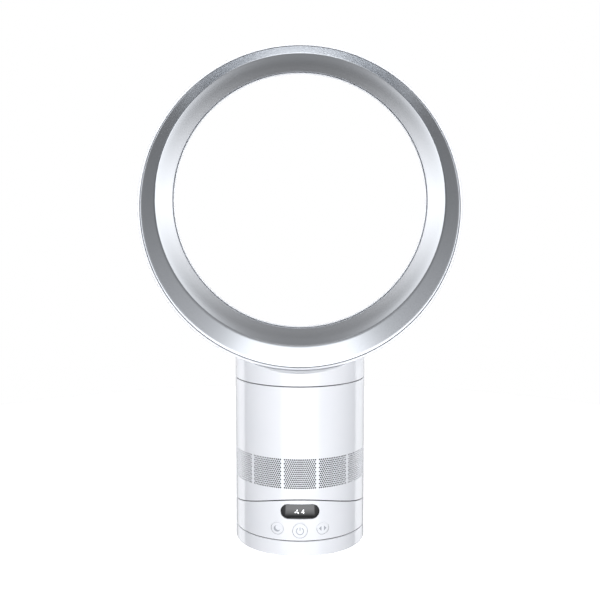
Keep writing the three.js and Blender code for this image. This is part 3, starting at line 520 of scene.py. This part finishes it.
FINISHES = {
    "white_casing": "Gloss_ABS_injection_moulded",
    "silver_lacquer": "Metallic_lacquer_sprayed",
    "button_white": "Satin_ABS_spark_eroded",
    "display_window": "Smoked_acrylic_polished",
    "rubber": "EPDM_moulded",
    "inner_grey": "ABS_tool_finish_grey",
    "inner_white": "ABS_tool_finish_white",
    "acetal": "Acetal_moulded",
    "steel": "Steel_zinc_plated",
    "laminations": "Electrical_steel_stacked",
    "copper": "Copper_wire_enamelled",
    "circuit_board": "Glass_epoxy_solder_resist",
    "foam": "Polyurethane_foam_open_cell",
    "impeller_grey": "Glass_filled_nylon",
}


# ---- Settings ----


def hex_property(name, description, default):
    return bpy.props.StringProperty(name=name, description=description, default=default, maxlen=7)


class FanColours(bpy.types.PropertyGroup):
    """The fan's colours, as sRGB hex values"""

    casing: hex_property("Casing", "White of the casings", "#f1f2f5")
    casing_shade: hex_property("Casing, shade", "Second tone of the casings' white", "#eceef2")
    silver: hex_property("Silver", "Lacquer of the loop's inner face", "#cfd2d5")
    silver_shade: hex_property("Silver, shade", "Second tone of the lacquer", "#c3c6ca")
    button: hex_property("Button", "White of the button caps", "#eff0f3")
    ink: hex_property("Ink", "Grey of the printed symbols", "#a3a7ae")
    window: hex_property("Window", "Smoked window of the display", "#101113")
    lit: hex_property("Lit symbols", "Light of the display's symbols", "#ffffff")


def length_property(name, description, millimetres):
    return bpy.props.FloatProperty(
        name=name,
        description=description,
        default=millimetres * MM,
        min=0.0,
        subtype="DISTANCE",
        unit="LENGTH",
        precision=4,
    )


class FanSizes(bpy.types.PropertyGroup):
    """The sizes of fine detail that the frame leaves open"""

    edge: length_property("Edge rounding", "Rounding of the casings' edges", EDGE)
    hole: length_property("Inlet hole radius", "Radius of each hole of the air inlet", HOLE_R)
    dish: length_property("Dish depth", "Depth of the hollow round the power button", DISH["depth"])
    floor: length_property("Floor radius", "Radius of the studio floor", 900)


# ---- Pieces ----


class FAN_OT_finishes(bpy.types.Operator):
    """Makes the materials, and gives every node of the frame the one of its slot"""

    bl_idname = "fan.finishes"
    bl_label = "Finishes"

    def execute(self, context):
        colours = context.scene.fan_colours
        shown = (gloss_abs, metallic_lacquer, satin_abs, printed_ink, smoked_acrylic, woven_screen)
        inside = (lit_symbol, zinc_steel, laminated_iron, enamelled_copper, circuit_board)
        for make in (*shown, *inside):
            make(colours)
        mouldings()
        for part in frame["record"]["subparts"]:
            mesh = frame["nodes"][part["node"]].data
            mesh.materials.clear()
            mesh.materials.append(MATERIALS[FINISHES[part["material_slot"]]])
        return {"FINISHED"}


class FAN_OT_foot(bpy.types.Operator):
    """Builds the foot's casing, with its rounded lower corner and the lead's hole"""

    bl_idname = "fan.foot"
    bl_label = "Foot casing"

    def execute(self, context):
        edge = context.scene.fan_sizes.edge / MM
        rim, top = FOOT["rim"], FOOT["top"]
        inside = BODY_R - FOOT["corner"] - WALL / 2
        outline = rounded(
            [
                (inside, rim, 0.3),
                (BODY_R, rim, FOOT["corner"]),
                (BODY_R, top, edge),
                (FOOT["hole"], top, 0.3),
                (FOOT["hole"], top - FOOT["deck"], 0),
                (INNER_R, top - FOOT["deck"], 1),
                (INNER_R, rim + FOOT["corner"], 1),
                (inside, rim + WALL, 0.3),
            ],
            steps=6,
        )
        casing = build("foot_casing", turned(outline))
        carve(casing, prism(circle(0, GLAND["z"], GLAND["r"]), INNER_R - 8, BODY_R + 1))
        dress(true_round(casing, BODY_R), "foot", "white_casing", "foot_shell")
        return {"FINISHED"}


class FAN_OT_pads(bpy.types.Operator):
    """Builds the four rubber feet with their chamfered rims and grip rings"""

    bl_idname = "fan.pads"
    bl_label = "Rubber feet"

    def execute(self, context):
        for number in range(1, 5):
            node = f"rubber_foot_{number}"
            low, high = box_mm(node)
            middle, r = (low + high) / 2, (high.x - low.x) / 2
            outline = rounded(
                [
                    (0, low.z, 0),
                    (r - 3.2, low.z, 0),
                    (r - 2.8, low.z + 0.4, 0),
                    (r - 2.2, low.z + 0.4, 0),
                    (r - 1.8, low.z, 0),
                    (r, low.z, 0.8),
                    (r, high.z, 0.2),
                    (0, high.z, 0),
                ]
            )
            centre = Vector((middle.x, middle.y, 0))
            rings = [[on_body(p.x, turn, p.y) + centre for p in outline] for turn in turns(48)]
            pad = build(f"rubber_pad_{number}", skin(rings))
            dress(pad, "foot", "rubber", node)
        return {"FINISHED"}


def seam_height(r, turn, seam_r):
    """Where the curved seam crosses a place on the casing."""
    return TILT_Z - math.sqrt(seam_r**2 - (r * math.cos(turn)) ** 2)


def stadium(half, r, inset=0.0, steps=24):
    """The outline of the display: two half circles joined by straights."""
    end, r = half - r, r - inset
    angles = [math.pi * i / steps for i in range(steps + 1)]
    right = [(end + r * math.sin(a), r * math.cos(a)) for a in angles]
    return [(x, z + PILL["z"]) for x, z in [*right, *[(-x, -z) for x, z in right]]]


def dish_cutter(depth):
    """A ball that leaves a shallow hollow in the casing round the power button."""
    half = DISH["half"]
    r = (half**2 + depth**2) / (2 * depth)
    centre = Vector((0, depth - BODY_R - r, POWER["z"] + DISH["lift"]))
    rings = []
    for latitude in [math.radians(a) for a in range(-88, 89, 2)]:
        ring_r, z = r * math.cos(latitude), r * math.sin(latitude)
        rings.append([centre + on_body(ring_r, t, z) for t in turns(120)])
    return skin(rings, around=False)


class FAN_OT_control_casing(bpy.types.Operator):
    """Builds the control section's casing, with its curved top and its openings at the front"""

    bl_idname = "fan.control_casing"
    bl_label = "Control casing"

    def execute(self, context):
        sizes = context.scene.fan_sizes
        edge, bottom = sizes.edge / MM, FOOT["top"] + SEAM
        sections = []
        for turn in turns(AROUND):
            top, inner_top = (seam_height(r, turn, TILT_R + SEAM / 2) for r in (BODY_R, INNER_R))
            side = [(BODY_R, bottom, edge), (BODY_R, top, edge)]
            corners = [(INNER_R, bottom, 0), *side, (INNER_R, inner_top, 0)]
            # Points 5 and 6 end the side between its two rounded edges.
            outline = rows_between(rounded(corners), 5, 6, CASING_ROWS)
            sections.append([on_body(r, turn, z) for r, z in outline])
        casing = build("control_casing", skin(sections))
        gap = PILL["gap"]
        openings = [stadium(PILL["half"] + gap, PILL["r"] + gap)]
        openings += [circle(b["x"], b["z"], b["r"] + BUTTON_GAP) for b in (POWER, SLEEP, SWING)]
        cutters = [prism(outline, -BODY_R - CUT_BEFORE, -BODY_R + CUT_BEHIND) for outline in openings]
        carve(casing, dish_cutter(sizes.dish / MM), *cutters)
        dress(true_round(casing, BODY_R), "base", "white_casing", "base_shell")
        return {"FINISHED"}


def on_front(x, z, r):
    """A point on the front of a cylinder about the body's axis."""
    return Vector((x, -math.sqrt(r**2 - x**2), z))


def raised(name, outlines, r, lift):
    """Thin plates of (x, z) outlines on a cylinder about the body's axis, as print lies. Outlines that
    share an edge are one plate."""
    walls = {}
    for outline in outlines:
        for one, other in zip(outline, [*outline[1:], outline[0]]):
            key = frozenset(tuple(round(c, 3) for c in end) for end in (one, other))
            walls[key] = None if key in walls else (one, other)
    top, root = r + lift, r - INK_ROOT
    faces = [[on_front(x, z, at) for x, z in outline] for outline in outlines for at in (top, root)]
    for one, other in filter(None, walls.values()):
        spots = ((*one, top), (*other, top), (*other, root), (*one, root))
        faces.append([on_front(*spot) for spot in spots])
    return build(name, faces)


def strip(line, width):
    """A line of (x, z) points as a list of quads of one width."""
    points = [Vector(p) for p in line]
    edges = []
    for before, here, after in zip([points[0], *points], points, [*points[1:], points[-1]]):
        along = (after - before).normalized()
        side = Vector((-along.y, along.x)) * (width / 2)
        edges.append((tuple(here + side), tuple(here - side)))
    return [[a, c, d, b] for (a, b), (c, d) in zip(edges, edges[1:])]


def arc(x, z, r, first, last, steps):
    """Points on an arc, with angles in degrees clockwise from the top."""
    angles = [math.radians(first + (last - first) * i / steps) for i in range(steps + 1)]
    return [(x + r * math.sin(a), z + r * math.cos(a)) for a in angles]


def moon(button):
    """A crescent, open to the upper right."""
    x, z = button["x"] - 0.35, button["z"] - 0.3
    steps = 30
    outer = arc(x, z, 3.5, 5, -265, steps)
    inner = arc(x + 1.35, z + 1.25, 3.0, -22, -238, steps)
    return [[outer[i], outer[i + 1], inner[i + 1], inner[i]] for i in range(steps)]


def power_mark(button):
    """A broken ring with a bar in the break."""
    x, z = button["x"], button["z"] - 0.3
    return [*strip(arc(x, z, 3.9, 32, 328, 40), STROKE), *strip([(x, z + 0.6), (x, z + 4.2)], STROKE)]


def swing_mark(button):
    """Two arrowheads that point apart."""
    x, z = button["x"], button["z"]
    return [[(x + side * 1.4, z - 2.8), (x + side * 1.4, z + 2.8), (x + side * 4.1, z)] for side in (-1, 1)]


def cap(name, outline, r, r_face, edge, dome, back):
    """A cap whose face follows the casing: slightly domed, with a rounded rim and a straight side. The
    outline is a function of its inset."""
    rings = [(r - share * (r - edge), dome * share**2) for share in (0.1, 0.3, 0.5, 0.65, 0.8, 0.9)]
    for step in range(6):
        angle = math.radians(90 * step / 5)
        rings.append((edge * (1 - math.sin(angle)), dome + edge * (1 - math.cos(angle))))
    loops = []
    for inset, drop in rings:
        loops.append([on_front(x, z, r_face) + Vector((0, drop, 0)) for x, z in outline(inset)])
    loops.append([Vector((p.x, back, p.z)) for p in loops[-1]])
    return build(name, skin(loops, around=False))


class FAN_OT_buttons(bpy.types.Operator):
    """Builds the three push buttons and their printed symbols"""

    bl_idname = "fan.buttons"
    bl_label = "Buttons"

    def execute(self, context):
        marks = {"power": (POWER, power_mark), "sleep": (SLEEP, moon), "oscillation": (SWING, swing_mark)}
        face = BODY_R - BUTTON_SINK
        for name, (button, mark) in marks.items():
            node = f"{name}_button"
            r = button["r"] + BUTTON_GAP - BUTTON_SHOWN_GAP

            def outline(inset, button=button, r=r):
                return circle(button["x"], button["z"], r - inset, 64)

            back = box_mm(node)[0].y + CAP_DEPTH
            top = cap(f"{name}_cap", outline, r, face, edge=0.5, dome=0.0, back=back)
            dress(top, node, "button_white", node)
            symbol = raised(f"{name}_symbol", mark(button), face, INK)
            dress(symbol, node, "button_white", material="Pad_printed_ink")
        return {"FINISHED"}


def fan_icon(x, z):
    """Three petals about a hub."""
    out, half_long, half_wide = 1.55, 1.2, 0.72
    petals = []
    for degrees in (10, 130, 250):
        c, s = math.cos(math.radians(degrees)), math.sin(math.radians(degrees))
        middle = (x + out * s, z + out * c)
        petal = []
        for angle in turns(16):
            along, across = half_long * math.cos(angle), half_wide * math.sin(angle)
            petal.append((middle[0] + along * s + across * c, middle[1] + along * c - across * s))
        petals.append(petal)
    return petals


def digit_four(x, z):
    """The speed setting, drawn with plain strokes."""
    return [
        *strip([(x + 0.55, z + 2.5), (x - 1.6, z - 0.75)], 0.62),
        *strip([(x - 1.8, z - 0.85), (x + 1.6, z - 0.85)], 0.6),
        *strip([(x + 0.6, z + 2.7), (x + 0.6, z - 2.4)], 0.75),
    ]


class FAN_OT_display(bpy.types.Operator):
    """Builds the display's curved window, with the lit fan symbol and speed"""

    bl_idname = "fan.display"
    bl_label = "Display"

    def execute(self, context):
        face = BODY_R - PILL["sink"]

        def outline(inset):
            return stadium(PILL["half"], PILL["r"], inset)

        back = -(INNER_R + GAP) * 0.95
        window = cap("display_glass", outline, PILL["r"], face, edge=0.3, dome=0.8, back=back)
        dress(window, "base", "display_window", "display_window")
        symbols = {
            "display_fan_symbol": fan_icon(GLOW["fan_x"], PILL["z"]),
            "display_speed_digit": digit_four(GLOW["digit_x"], PILL["z"]),
        }
        for name, outlines in symbols.items():
            symbol = raised(name, outlines, face, GLOW["lift"])
            dress(symbol, "base", "display_window", material="Display_segments_lit")
        return {"FINISHED"}


def seam_dish(name, lower_r, upper_r):
    """A round sheet between two cylinders about the tilt axis."""
    radii = [i * FIT_R / 16 for i in range(1, 17)]
    top, under = (
        [[on_body(r, t, seam_height(r, t, side_r)) for t in turns(AROUND // 2)] for r in radii]
        for side_r in (upper_r, lower_r)
    )
    return build(name, skin([*top, *reversed(under)], around=False))


class FAN_OT_shade_seals(bpy.types.Operator):
    """Builds black rings in the three open seams: painted shade that makes the seams read dark"""

    bl_idname = "fan.seals"
    bl_label = "Seam shade seals"

    def execute(self, context):
        inner, outer, clear = INNER_R - SHADE_SEAL["inside"], BODY_R - SHADE_SEAL["sunk"], SHADE_SEAL["clear"]

        def level(z):
            return lambda r, turn: z

        def along_tilt(seam_r):
            return lambda r, turn: seam_height(r, turn, seam_r)

        tilt = (along_tilt(TILT_R + SEAM / 2 - clear), along_tilt(TILT_R - SEAM / 2 + clear))
        foot = (level(FOOT["top"] + clear), level(FOOT["top"] + SEAM - clear))
        neck = (level(SLEEVE_TOP + clear), level(NECK["bottom"] - clear))
        seams = (("foot", "base", foot), ("tilt", "base", tilt), ("neck", "body", neck))
        # The rings are painted shade: their black stands in for the shade deep inside each seam.
        for name, body, (low, high) in seams:
            corners = ((inner, low), (outer, low), (outer, high), (inner, high))
            sections = [[on_body(r, t, side(r, t)) for r, side in corners] for t in turns(AROUND)]
            dress(build(f"{name}_seam_shade_seal", skin(sections)), body, "rubber")
        return {"FINISHED"}


def cradle_cutter(x0, x1, half):
    """A block through the cradle from x0 to x1, and as far as half to the front and the rear."""
    low, high = CRADLE_CUT
    return prism([(x0, low), (x1, low), (x1, high), (x0, high)], -half, half)


class FAN_OT_cradle(bpy.types.Operator):
    """Builds the curved top of the control section and the body's matching underside"""

    bl_idname = "fan.cradle"
    bl_label = "Cradle"

    def execute(self, context):
        edge = TILT_R + SEAM / 2
        cradle = seam_dish("cradle_top", edge + WALL, edge)
        inside = box_mm("tilt_runner_right")[0].x - RUNNER["clear"]
        outside = inside + RUNNER["web"] + 2 * RUNNER["clear"]
        sides = ((-outside, -inside), (inside, outside))
        slots = [cradle_cutter(x0, x1, RUNNER["half"]) for x0, x1 in sides]
        wires = cradle_cutter(-WIRES["x"], WIRES["x"], WIRES["y"])
        carve(cradle, *slots, wires)
        dress(cradle, "base", "white_casing", "cradle_plate")
        floor = seam_dish("body_underside", edge - SEAM, edge - SEAM - WALL)
        carve(floor, wires)
        dress(floor, "body", "white_casing", "body_floor")
        return {"FINISHED"}


def band_columns():
    """Angles of the sleeve's columns: every half pitch of each panel, and none inside a rib."""
    panel = 2 * math.pi / BAND["panels"]
    half_pitch = BAND["pitch"] / 2 / BODY_R
    count = 2 * BAND["columns"]
    return [
        (number + 0.5) * panel - panel + (panel - count * half_pitch) / 2 + i * half_pitch
        for number in range(BAND["panels"])
        for i in range(count + 1)
    ]


def band_faces(hole):
    """The inlet band's faces, outside, inside and in its holes: staggered six-sided cells, each with a
    hole, between solid ribs."""
    columns, rows, row_pitch, flank = BAND["columns"], BAND["rows"], BAND["row"], BAND["flank"]
    peak = row_pitch - flank
    first = BAND["middle"] - (rows - 1) / 2 * row_pitch
    last = first + (rows - 1) * row_pitch
    low, high = first - peak, last + peak
    angles = band_columns()
    per_panel = 2 * columns + 1
    faces = []

    def both(ring):
        """A face on the outside, and its twin on the inside."""
        for r in (BODY_R, BODY_R - BAND_WALL):
            faces.append(tuple(on_body(r, turn, z) for turn, z in ring))

    for panel in range(BAND["panels"]):
        at = angles[panel * per_panel : (panel + 1) * per_panel]
        for row in range(rows):
            z = first + row * row_pitch
            shifted = row % 2
            for centre in range(1 - shifted, 2 * columns + shifted, 2):
                left, right = max(centre - 1, 0), min(centre + 1, 2 * columns)
                middle = at[centre]
                ring = [(at[right], z + flank), (middle, z + peak), (at[left], z + flank)]
                ring += [(at[left], z - flank), (middle, z - peak), (at[right], z - flank)]
                if centre in (0, 2 * columns):
                    both(list(dict.fromkeys(ring)))
                    continue
                inner = []
                for degrees in (30, 90, 150, 210, 270, 330):
                    a = math.radians(degrees)
                    inner.append((middle + hole * math.cos(a) / BODY_R, z + hole * math.sin(a)))
                for i in range(6):
                    j = (i + 1) % 6
                    both([ring[i], ring[j], inner[j], inner[i]])
                    outer = [on_body(BODY_R, *inner[k]) for k in (i, j)]
                    deep = [on_body(BODY_R - BAND_WALL, *inner[k]) for k in (j, i)]
                    faces.append((*outer, *deep))
        for edge_z, line_z in ((first - flank, low), (last + flank, high)):
            for notch in range(0, 2 * columns + 1, 2):
                for side in (notch - 1, notch + 1):
                    if 0 <= side <= 2 * columns:
                        both([(at[notch], edge_z), (at[side], line_z), (at[notch], line_z)])
        after = angles[((panel + 1) * per_panel) % len(angles)]
        heights = {first + row * row_pitch + side * flank for row in range(rows) for side in (-1, 1)}
        heights = sorted({*heights, low, high})
        for z0, z1 in zip(heights, heights[1:]):
            both([(at[-1], z0), (after, z0), (after, z1), (at[-1], z1)])
    return faces, low, high


class FAN_OT_body_casing(bpy.types.Operator):
    """Builds the body's casing, with the perforated air inlet between its ribs and the curved lower edge"""

    bl_idname = "fan.body_casing"
    bl_label = "Body casing"

    def execute(self, context):
        sizes = context.scene.fan_sizes
        edge = sizes.edge / MM
        faces, low, high = band_faces(sizes.hole / MM)
        thin = BODY_R - BAND_WALL
        below, above = [], []
        for turn in band_columns():
            bottom, inner_bottom = (seam_height(r, turn, TILT_R - SEAM / 2) for r in (BODY_R, INNER_R))
            inside = [(thin, low, 0), (INNER_R, low - BAND_SLOPE, 0), (INNER_R, inner_bottom, 0)]
            corners = [*inside, (BODY_R, bottom, edge), (BODY_R, low, 0)]
            below.append([on_body(r, turn, z) for r, z in rounded(corners)])
            inside = [(INNER_R, SLEEVE_TOP, 0), (INNER_R, high + BAND_SLOPE, 0), (thin, high, 0)]
            corners = [(BODY_R, high, 0), (BODY_R, SLEEVE_TOP, edge), *inside]
            above.append([on_body(r, turn, z) for r, z in rounded(corners)])
        for sections in (below, above):
            for one, other in zip(sections, [*sections[1:], sections[0]]):
                for i in range(len(one) - 1):
                    faces.append((one[i], one[i + 1], other[i + 1], other[i]))
        casing = build("body_casing", faces)
        dress(true_round(casing, BODY_R), "body", "white_casing", "body_sleeve")
        return {"FINISHED"}


class FAN_OT_inlet_screen(bpy.types.Operator):
    """Builds the black woven screen that lines the air inlet, whose black is also painted shade in the holes"""

    bl_idname = "fan.inlet_screen"
    bl_label = "Inlet screen"

    def execute(self, context):
        low, high = BAND["middle"] - SCREEN["half"], BAND["middle"] + SCREEN["half"]
        outer = BODY_R - BAND_WALL - SCREEN["clear"]
        inner, heel = outer - SCREEN["thick"], outer - SCREEN["heel"]
        back = [(heel, low, 0), (inner, low, 0), (inner, high, 0), (heel, high, 0)]
        face = [(outer, high - SCREEN["shoulder"], 0.3), (outer, low + SCREEN["shoulder"], 0.3)]
        screen = build("inlet_screen", turned(rounded([*back, *face])))
        # Its black is partly painted shade: it darkens the inlet's holes.
        dress(screen, "body", "foam", material="Polyester_screen_woven")
        return {"FINISHED"}


class FAN_OT_neck(bpy.types.Operator):
    """Builds the neck: a tube whose top is hollowed to the loop's outside"""

    bl_idname = "fan.neck"
    bl_label = "Neck"

    def execute(self, context):
        edge = context.scene.fan_sizes.edge / MM
        saddle_r, port = LOOP_R + NECK["saddle_gap"], NECK["port"]

        def saddle(r, turn):
            return LOOP_Z - math.sqrt(saddle_r**2 - (r * math.sin(turn)) ** 2)

        sections = []
        for turn in turns(AROUND):
            side = [(INNER_R, NECK["bottom"], 0), (BODY_R, NECK["bottom"], edge)]
            top = [(BODY_R, saddle(BODY_R, turn), NECK["shoulder"]), (port, saddle(port, turn), 0)]
            outside = rounded([*side, *top])[:-1]
            inward = [Vector((r, saddle(r, turn))) for r in (66, 58, 50, 42, port)]
            under = [Vector((port, inward[-1].y - WALL))]
            under.append(Vector((SPIGOT["inner"], saddle(SPIGOT["inner"], turn) - WALL)))
            spigot = [(SPIGOT["inner"], SPIGOT["bottom"]), (SPIGOT["outer"], SPIGOT["bottom"])]
            web = [(SPIGOT["outer"], NECK["web"]), (INNER_R, NECK["web"])]
            outline = [*outside, *inward, *under, *map(Vector, spigot), *map(Vector, web)]
            sections.append([on_body(p.x, turn, p.y) for p in outline])
        neck = build("neck_casing", skin(sections))
        dress(true_round(neck, BODY_R), "loop", "white_casing", "loop_neck")
        return {"FINISHED"}


class FAN_OT_loop_casing(bpy.types.Operator):
    """Builds the loop's white casing, which wraps round the rear to a thin lip inside the bore"""

    bl_idname = "fan.loop_casing"
    bl_label = "Loop casing"

    def execute(self, context):
        r, lip_r = LOOP_R, THROAT_R + LIP
        back = [(r, -6), (r - 1.2, 22), (r - 4.6, 37), (r - 10.5, 46)]
        back += [(r - 17, REAR - 0.2), (r - 23, REAR - 1.2)]
        hidden = [(lip_r, REAR - 9), (r - 21.5, REAR - 3.6), (r - 16.6, REAR - 2.8)]
        hidden += [(r - 12, 43.6), (r - 6.8, 35.4), (r - 3.7, 21.4), (r - WALL, -6)]
        rim = rounded([(r - WALL, 0, 0), (r - WALL, FRONT, 0.7), (r, FRONT, 1.1), (r, 0, 0)], steps=6)[1:-1]
        tail = curve([*back, (THROAT_R + 1.2, REAR - 5.2), (THROAT_R, REAR - 9)])
        tip = [(THROAT_R, LIP_Y, 0.3), (THROAT_R + LIP_TIP, LIP_Y, 0.3)]
        lip = rounded([(THROAT_R, 40, 0), *tip, (lip_r, 36, 0)], steps=5)[1:-1]
        outline = [*rim, *tail, *lip, *map(Vector, hidden)]
        sections = [[on_loop(p.x, p.y, t, lip_r, r - WALL) for p in outline] for t in turns(LOOP_AROUND)]
        casing = build("loop_casing", skin(sections))
        dress(casing, "loop", "white_casing", "loop_outer_shell")
        return {"FINISHED"}


class FAN_OT_silver(bpy.types.Operator):
    """Builds the silver inner shell: the bevel from the rim to the crease, and the long inner face"""

    bl_idname = "fan.silver"
    bl_label = "Silver shell"

    def execute(self, context):
        crease_r, crease_y = CREASE
        rim = [(RIM_R, FRONT + 1.9), (RIM_R - 0.1, FRONT + 1.1), (RIM_R - 0.5, FRONT + 0.8)]
        first, last = Vector((RIM_R - 0.9, FRONT + 0.9)), Vector((crease_r + 0.6, crease_y - 0.4))
        bevel = [first.lerp(last, share) for share in (0, 0.1, 0.5, 0.9, 1)]
        mouth = THROAT_R + LIP_TIP + SLOT_OPEN
        # It flares from the slot forwards, so that the air clings to it.
        flare = [(crease_r, crease_y + 0.4), (154.4, -32), (152.2, -18), (150.2, -2)]
        flare += [(148.6, 13), (147.5, 24)]
        face = curve([*flare, (mouth, LIP_Y), (mouth + 0.1, LIP_Y + 2), (SLOT_R + 0.4, 38)])
        wall = SILVER_WALL
        hidden = [(SLOT_R + wall + 0.6, 38), (SLOT_R + wall, LIP_Y), (SLOT_R + wall + 0.6, 22.4)]
        hidden += [(152.2 + wall, -3.7), (crease_r + 1.8, crease_y + 1.6), (RIM_R, FRONT + wall + 1.6)]
        outline = [*map(Vector, rim), *bevel, *face, *map(Vector, hidden)]
        sections = [[on_loop(p.x, p.y, t, crease_r, RIM_R) for p in outline] for t in turns(LOOP_AROUND)]
        shell = build("loop_silver_shell", skin(sections), crease=SHARP_SILVER)
        dress(shell, "loop", "silver_lacquer", "loop_inner_shell")
        return {"FINISHED"}


# ---- Studio ----


def softbox(name, place, target, width, height, watts):
    """A soft panel of light, turned towards a point."""
    data = bpy.data.lights.new(name, "AREA")
    data.shape, data.size, data.size_y, data.energy = "RECTANGLE", width, height, watts
    light = bpy.data.objects.new(name, data)
    light.location = place
    light.rotation_euler = (Vector(target) - Vector(place)).to_track_quat("-Z", "Y").to_euler()
    bpy.context.scene.collection.objects.link(light)


def ramp(tree, value, stops):
    """A strength that follows a value from 0 to 1 through (value, strength) stops, smoothly."""
    top = max(strength for _, strength in stops)
    made = add(tree, "ShaderNodeValToRGB", {"Fac": value})
    elements = made.color_ramp.elements
    for position, strength in stops[1:-1]:
        elements.new(position).color = (*[strength / top] * 3, 1)
    elements[0].position, elements[-1].position = stops[0][0], stops[-1][0]
    elements[0].color, elements[-1].color = (*[stops[0][1] / top] * 3, 1), (*[stops[-1][1] / top] * 3, 1)
    return combine(tree, "MULTIPLY", made.outputs["Color"], top)


def combine(tree, operation, *values):
    """A sum, product or other function of values."""
    return add(tree, "ShaderNodeMath", dict(enumerate(values)), operation=operation).outputs[0]


def studio_world():
    """White to the camera. To the fan it is a grey room with a broad panel in front, a tall one at each
    side behind, a lit wall straight behind at its own height, and a bright floor and ceiling."""
    world = bpy.data.worlds.new("studio")
    world.use_nodes = True
    tree = world.node_tree
    tree.nodes.clear()
    way = add(tree, "ShaderNodeSeparateXYZ", {0: add(tree, "ShaderNodeTexCoord").outputs["Generated"]})
    across = combine(tree, "ABSOLUTE", way.outputs["X"])
    high = combine(tree, "ABSOLUTE", way.outputs["Z"])
    rise = combine(tree, "MULTIPLY_ADD", way.outputs["Z"], 0.5, 0.5)
    ahead = combine(tree, "MULTIPLY_ADD", way.outputs["Y"], -0.5, 0.5)
    behind = combine(tree, "MAXIMUM", way.outputs["Y"], 0.0)

    room = ramp(tree, rise, ROOM)
    climb = combine(tree, "MAXIMUM", way.outputs["Z"], 0.0)
    reach = combine(tree, "MULTIPLY_ADD", climb, FRONT_NARROWS, across)
    front = combine(tree, "MULTIPLY", ramp(tree, reach, FRONT_PANEL), ramp(tree, ahead, FRONT_SIDE))
    front = combine(tree, "MULTIPLY", front, ramp(tree, rise, FRONT_HEIGHT))
    sides = combine(tree, "MULTIPLY", ramp(tree, behind, REAR_PANELS), ramp(tree, high, REAR_HEIGHT))
    wall = combine(tree, "MULTIPLY", ramp(tree, high, WALL_HEIGHT), ramp(tree, behind, WALL_WIDTH))
    strength = combine(tree, "ADD", combine(tree, "ADD", room, front), combine(tree, "ADD", sides, wall))

    lit = add(tree, "ShaderNodeBackground", {"Color": linear("#fbfcff"), "Strength": strength})
    white = add(tree, "ShaderNodeBackground", {"Color": (1, 1, 1, 1), "Strength": 1.0})
    seen = add(tree, "ShaderNodeLightPath").outputs["Is Camera Ray"]
    mixed = add(tree, "ShaderNodeMixShader", {0: seen, 1: lit.outputs[0], 2: white.outputs[0]})
    add(tree, "ShaderNodeOutputWorld", {"Surface": mixed.outputs[0]})
    bpy.context.scene.world = world


class FAN_OT_stage(bpy.types.Operator):
    """Sets up the camera, the pale floor and the soft studio light"""

    bl_idname = "fan.stage"
    bl_label = "Stage"

    def execute(self, context):
        scene = context.scene
        lens = bpy.data.cameras.new("camera")
        lens.sensor_width, lens.lens = SENSOR, FOCAL_PX / PHOTO_SIDE * SENSOR
        camera = bpy.data.objects.new("camera", lens)
        camera.location = CAMERA_PLACE
        camera.rotation_euler = (math.pi / 2 - CAMERA_PITCH, 0, 0)
        scene.collection.objects.link(camera)
        scene.camera = camera
        scene.view_settings.view_transform = "Standard"

        r = scene.fan_sizes.floor / MM
        floor = build("studio_floor", [tuple(on_body(r, turn, FLOOR_Z) for turn in turns(96))])
        # Opal acrylic, evenly lit: it gives the eye no edge and hardly any texture.
        name, pale = "Acrylic_table_lit_from_below", "#fafafa"
        tree, shader, place = start(name, pale, 0.9)
        cloud = add(tree, "ShaderNodeTexNoise", sized(place, 3, Detail=3.0))
        two_tones(tree, shader, cloud.outputs["Fac"], pale, "#f7f7f8")
        shader.inputs["Emission Color"].default_value = linear(pale)
        shader.inputs["Emission Strength"].default_value = FLOOR_GLOW
        floor.data.materials.append(MATERIALS[name])

        floor.visible_glossy = floor.visible_diffuse = False
        softbox("overhead_softbox", target=(0, 0, 0), **OVERHEAD)
        studio_world()
        return {"FINISHED"}


# ---- Add-on ----

STEPS = (
    FAN_OT_stage,
    FAN_OT_finishes,
    FAN_OT_foot,
    FAN_OT_pads,
    FAN_OT_control_casing,
    FAN_OT_display,
    FAN_OT_buttons,
    FAN_OT_shade_seals,
    FAN_OT_cradle,
    FAN_OT_body_casing,
    FAN_OT_inlet_screen,
    FAN_OT_neck,
    FAN_OT_loop_casing,
    FAN_OT_silver,
)


class FAN_PT_panel(bpy.types.Panel):
    """Lists the fan's settings and pieces"""

    bl_idname = "FAN_PT_panel"
    bl_label = "Bladeless desk fan"
    bl_space_type = "VIEW_3D"
    bl_region_type = "UI"
    bl_category = "Fan"

    def draw(self, context):
        for settings in (context.scene.fan_sizes, context.scene.fan_colours):
            box = self.layout.box()
            for name in settings.__annotations__:
                box.prop(settings, name)
        for step in STEPS:
            self.layout.operator(step.bl_idname)


CLASSES = (FanColours, FanSizes, *STEPS, FAN_PT_panel)


def register():
    for cls in CLASSES:
        bpy.utils.register_class(cls)
    bpy.types.Scene.fan_colours = bpy.props.PointerProperty(type=FanColours)
    bpy.types.Scene.fan_sizes = bpy.props.PointerProperty(type=FanSizes)


def unregister():
    del bpy.types.Scene.fan_sizes, bpy.types.Scene.fan_colours
    for cls in reversed(CLASSES):
        bpy.utils.unregister_class(cls)


def main():
    register()
    for step in STEPS:
        area, name = step.bl_idname.split(".")
        getattr(getattr(bpy.ops, area), name)()


if __name__ == "__main__":
    main()
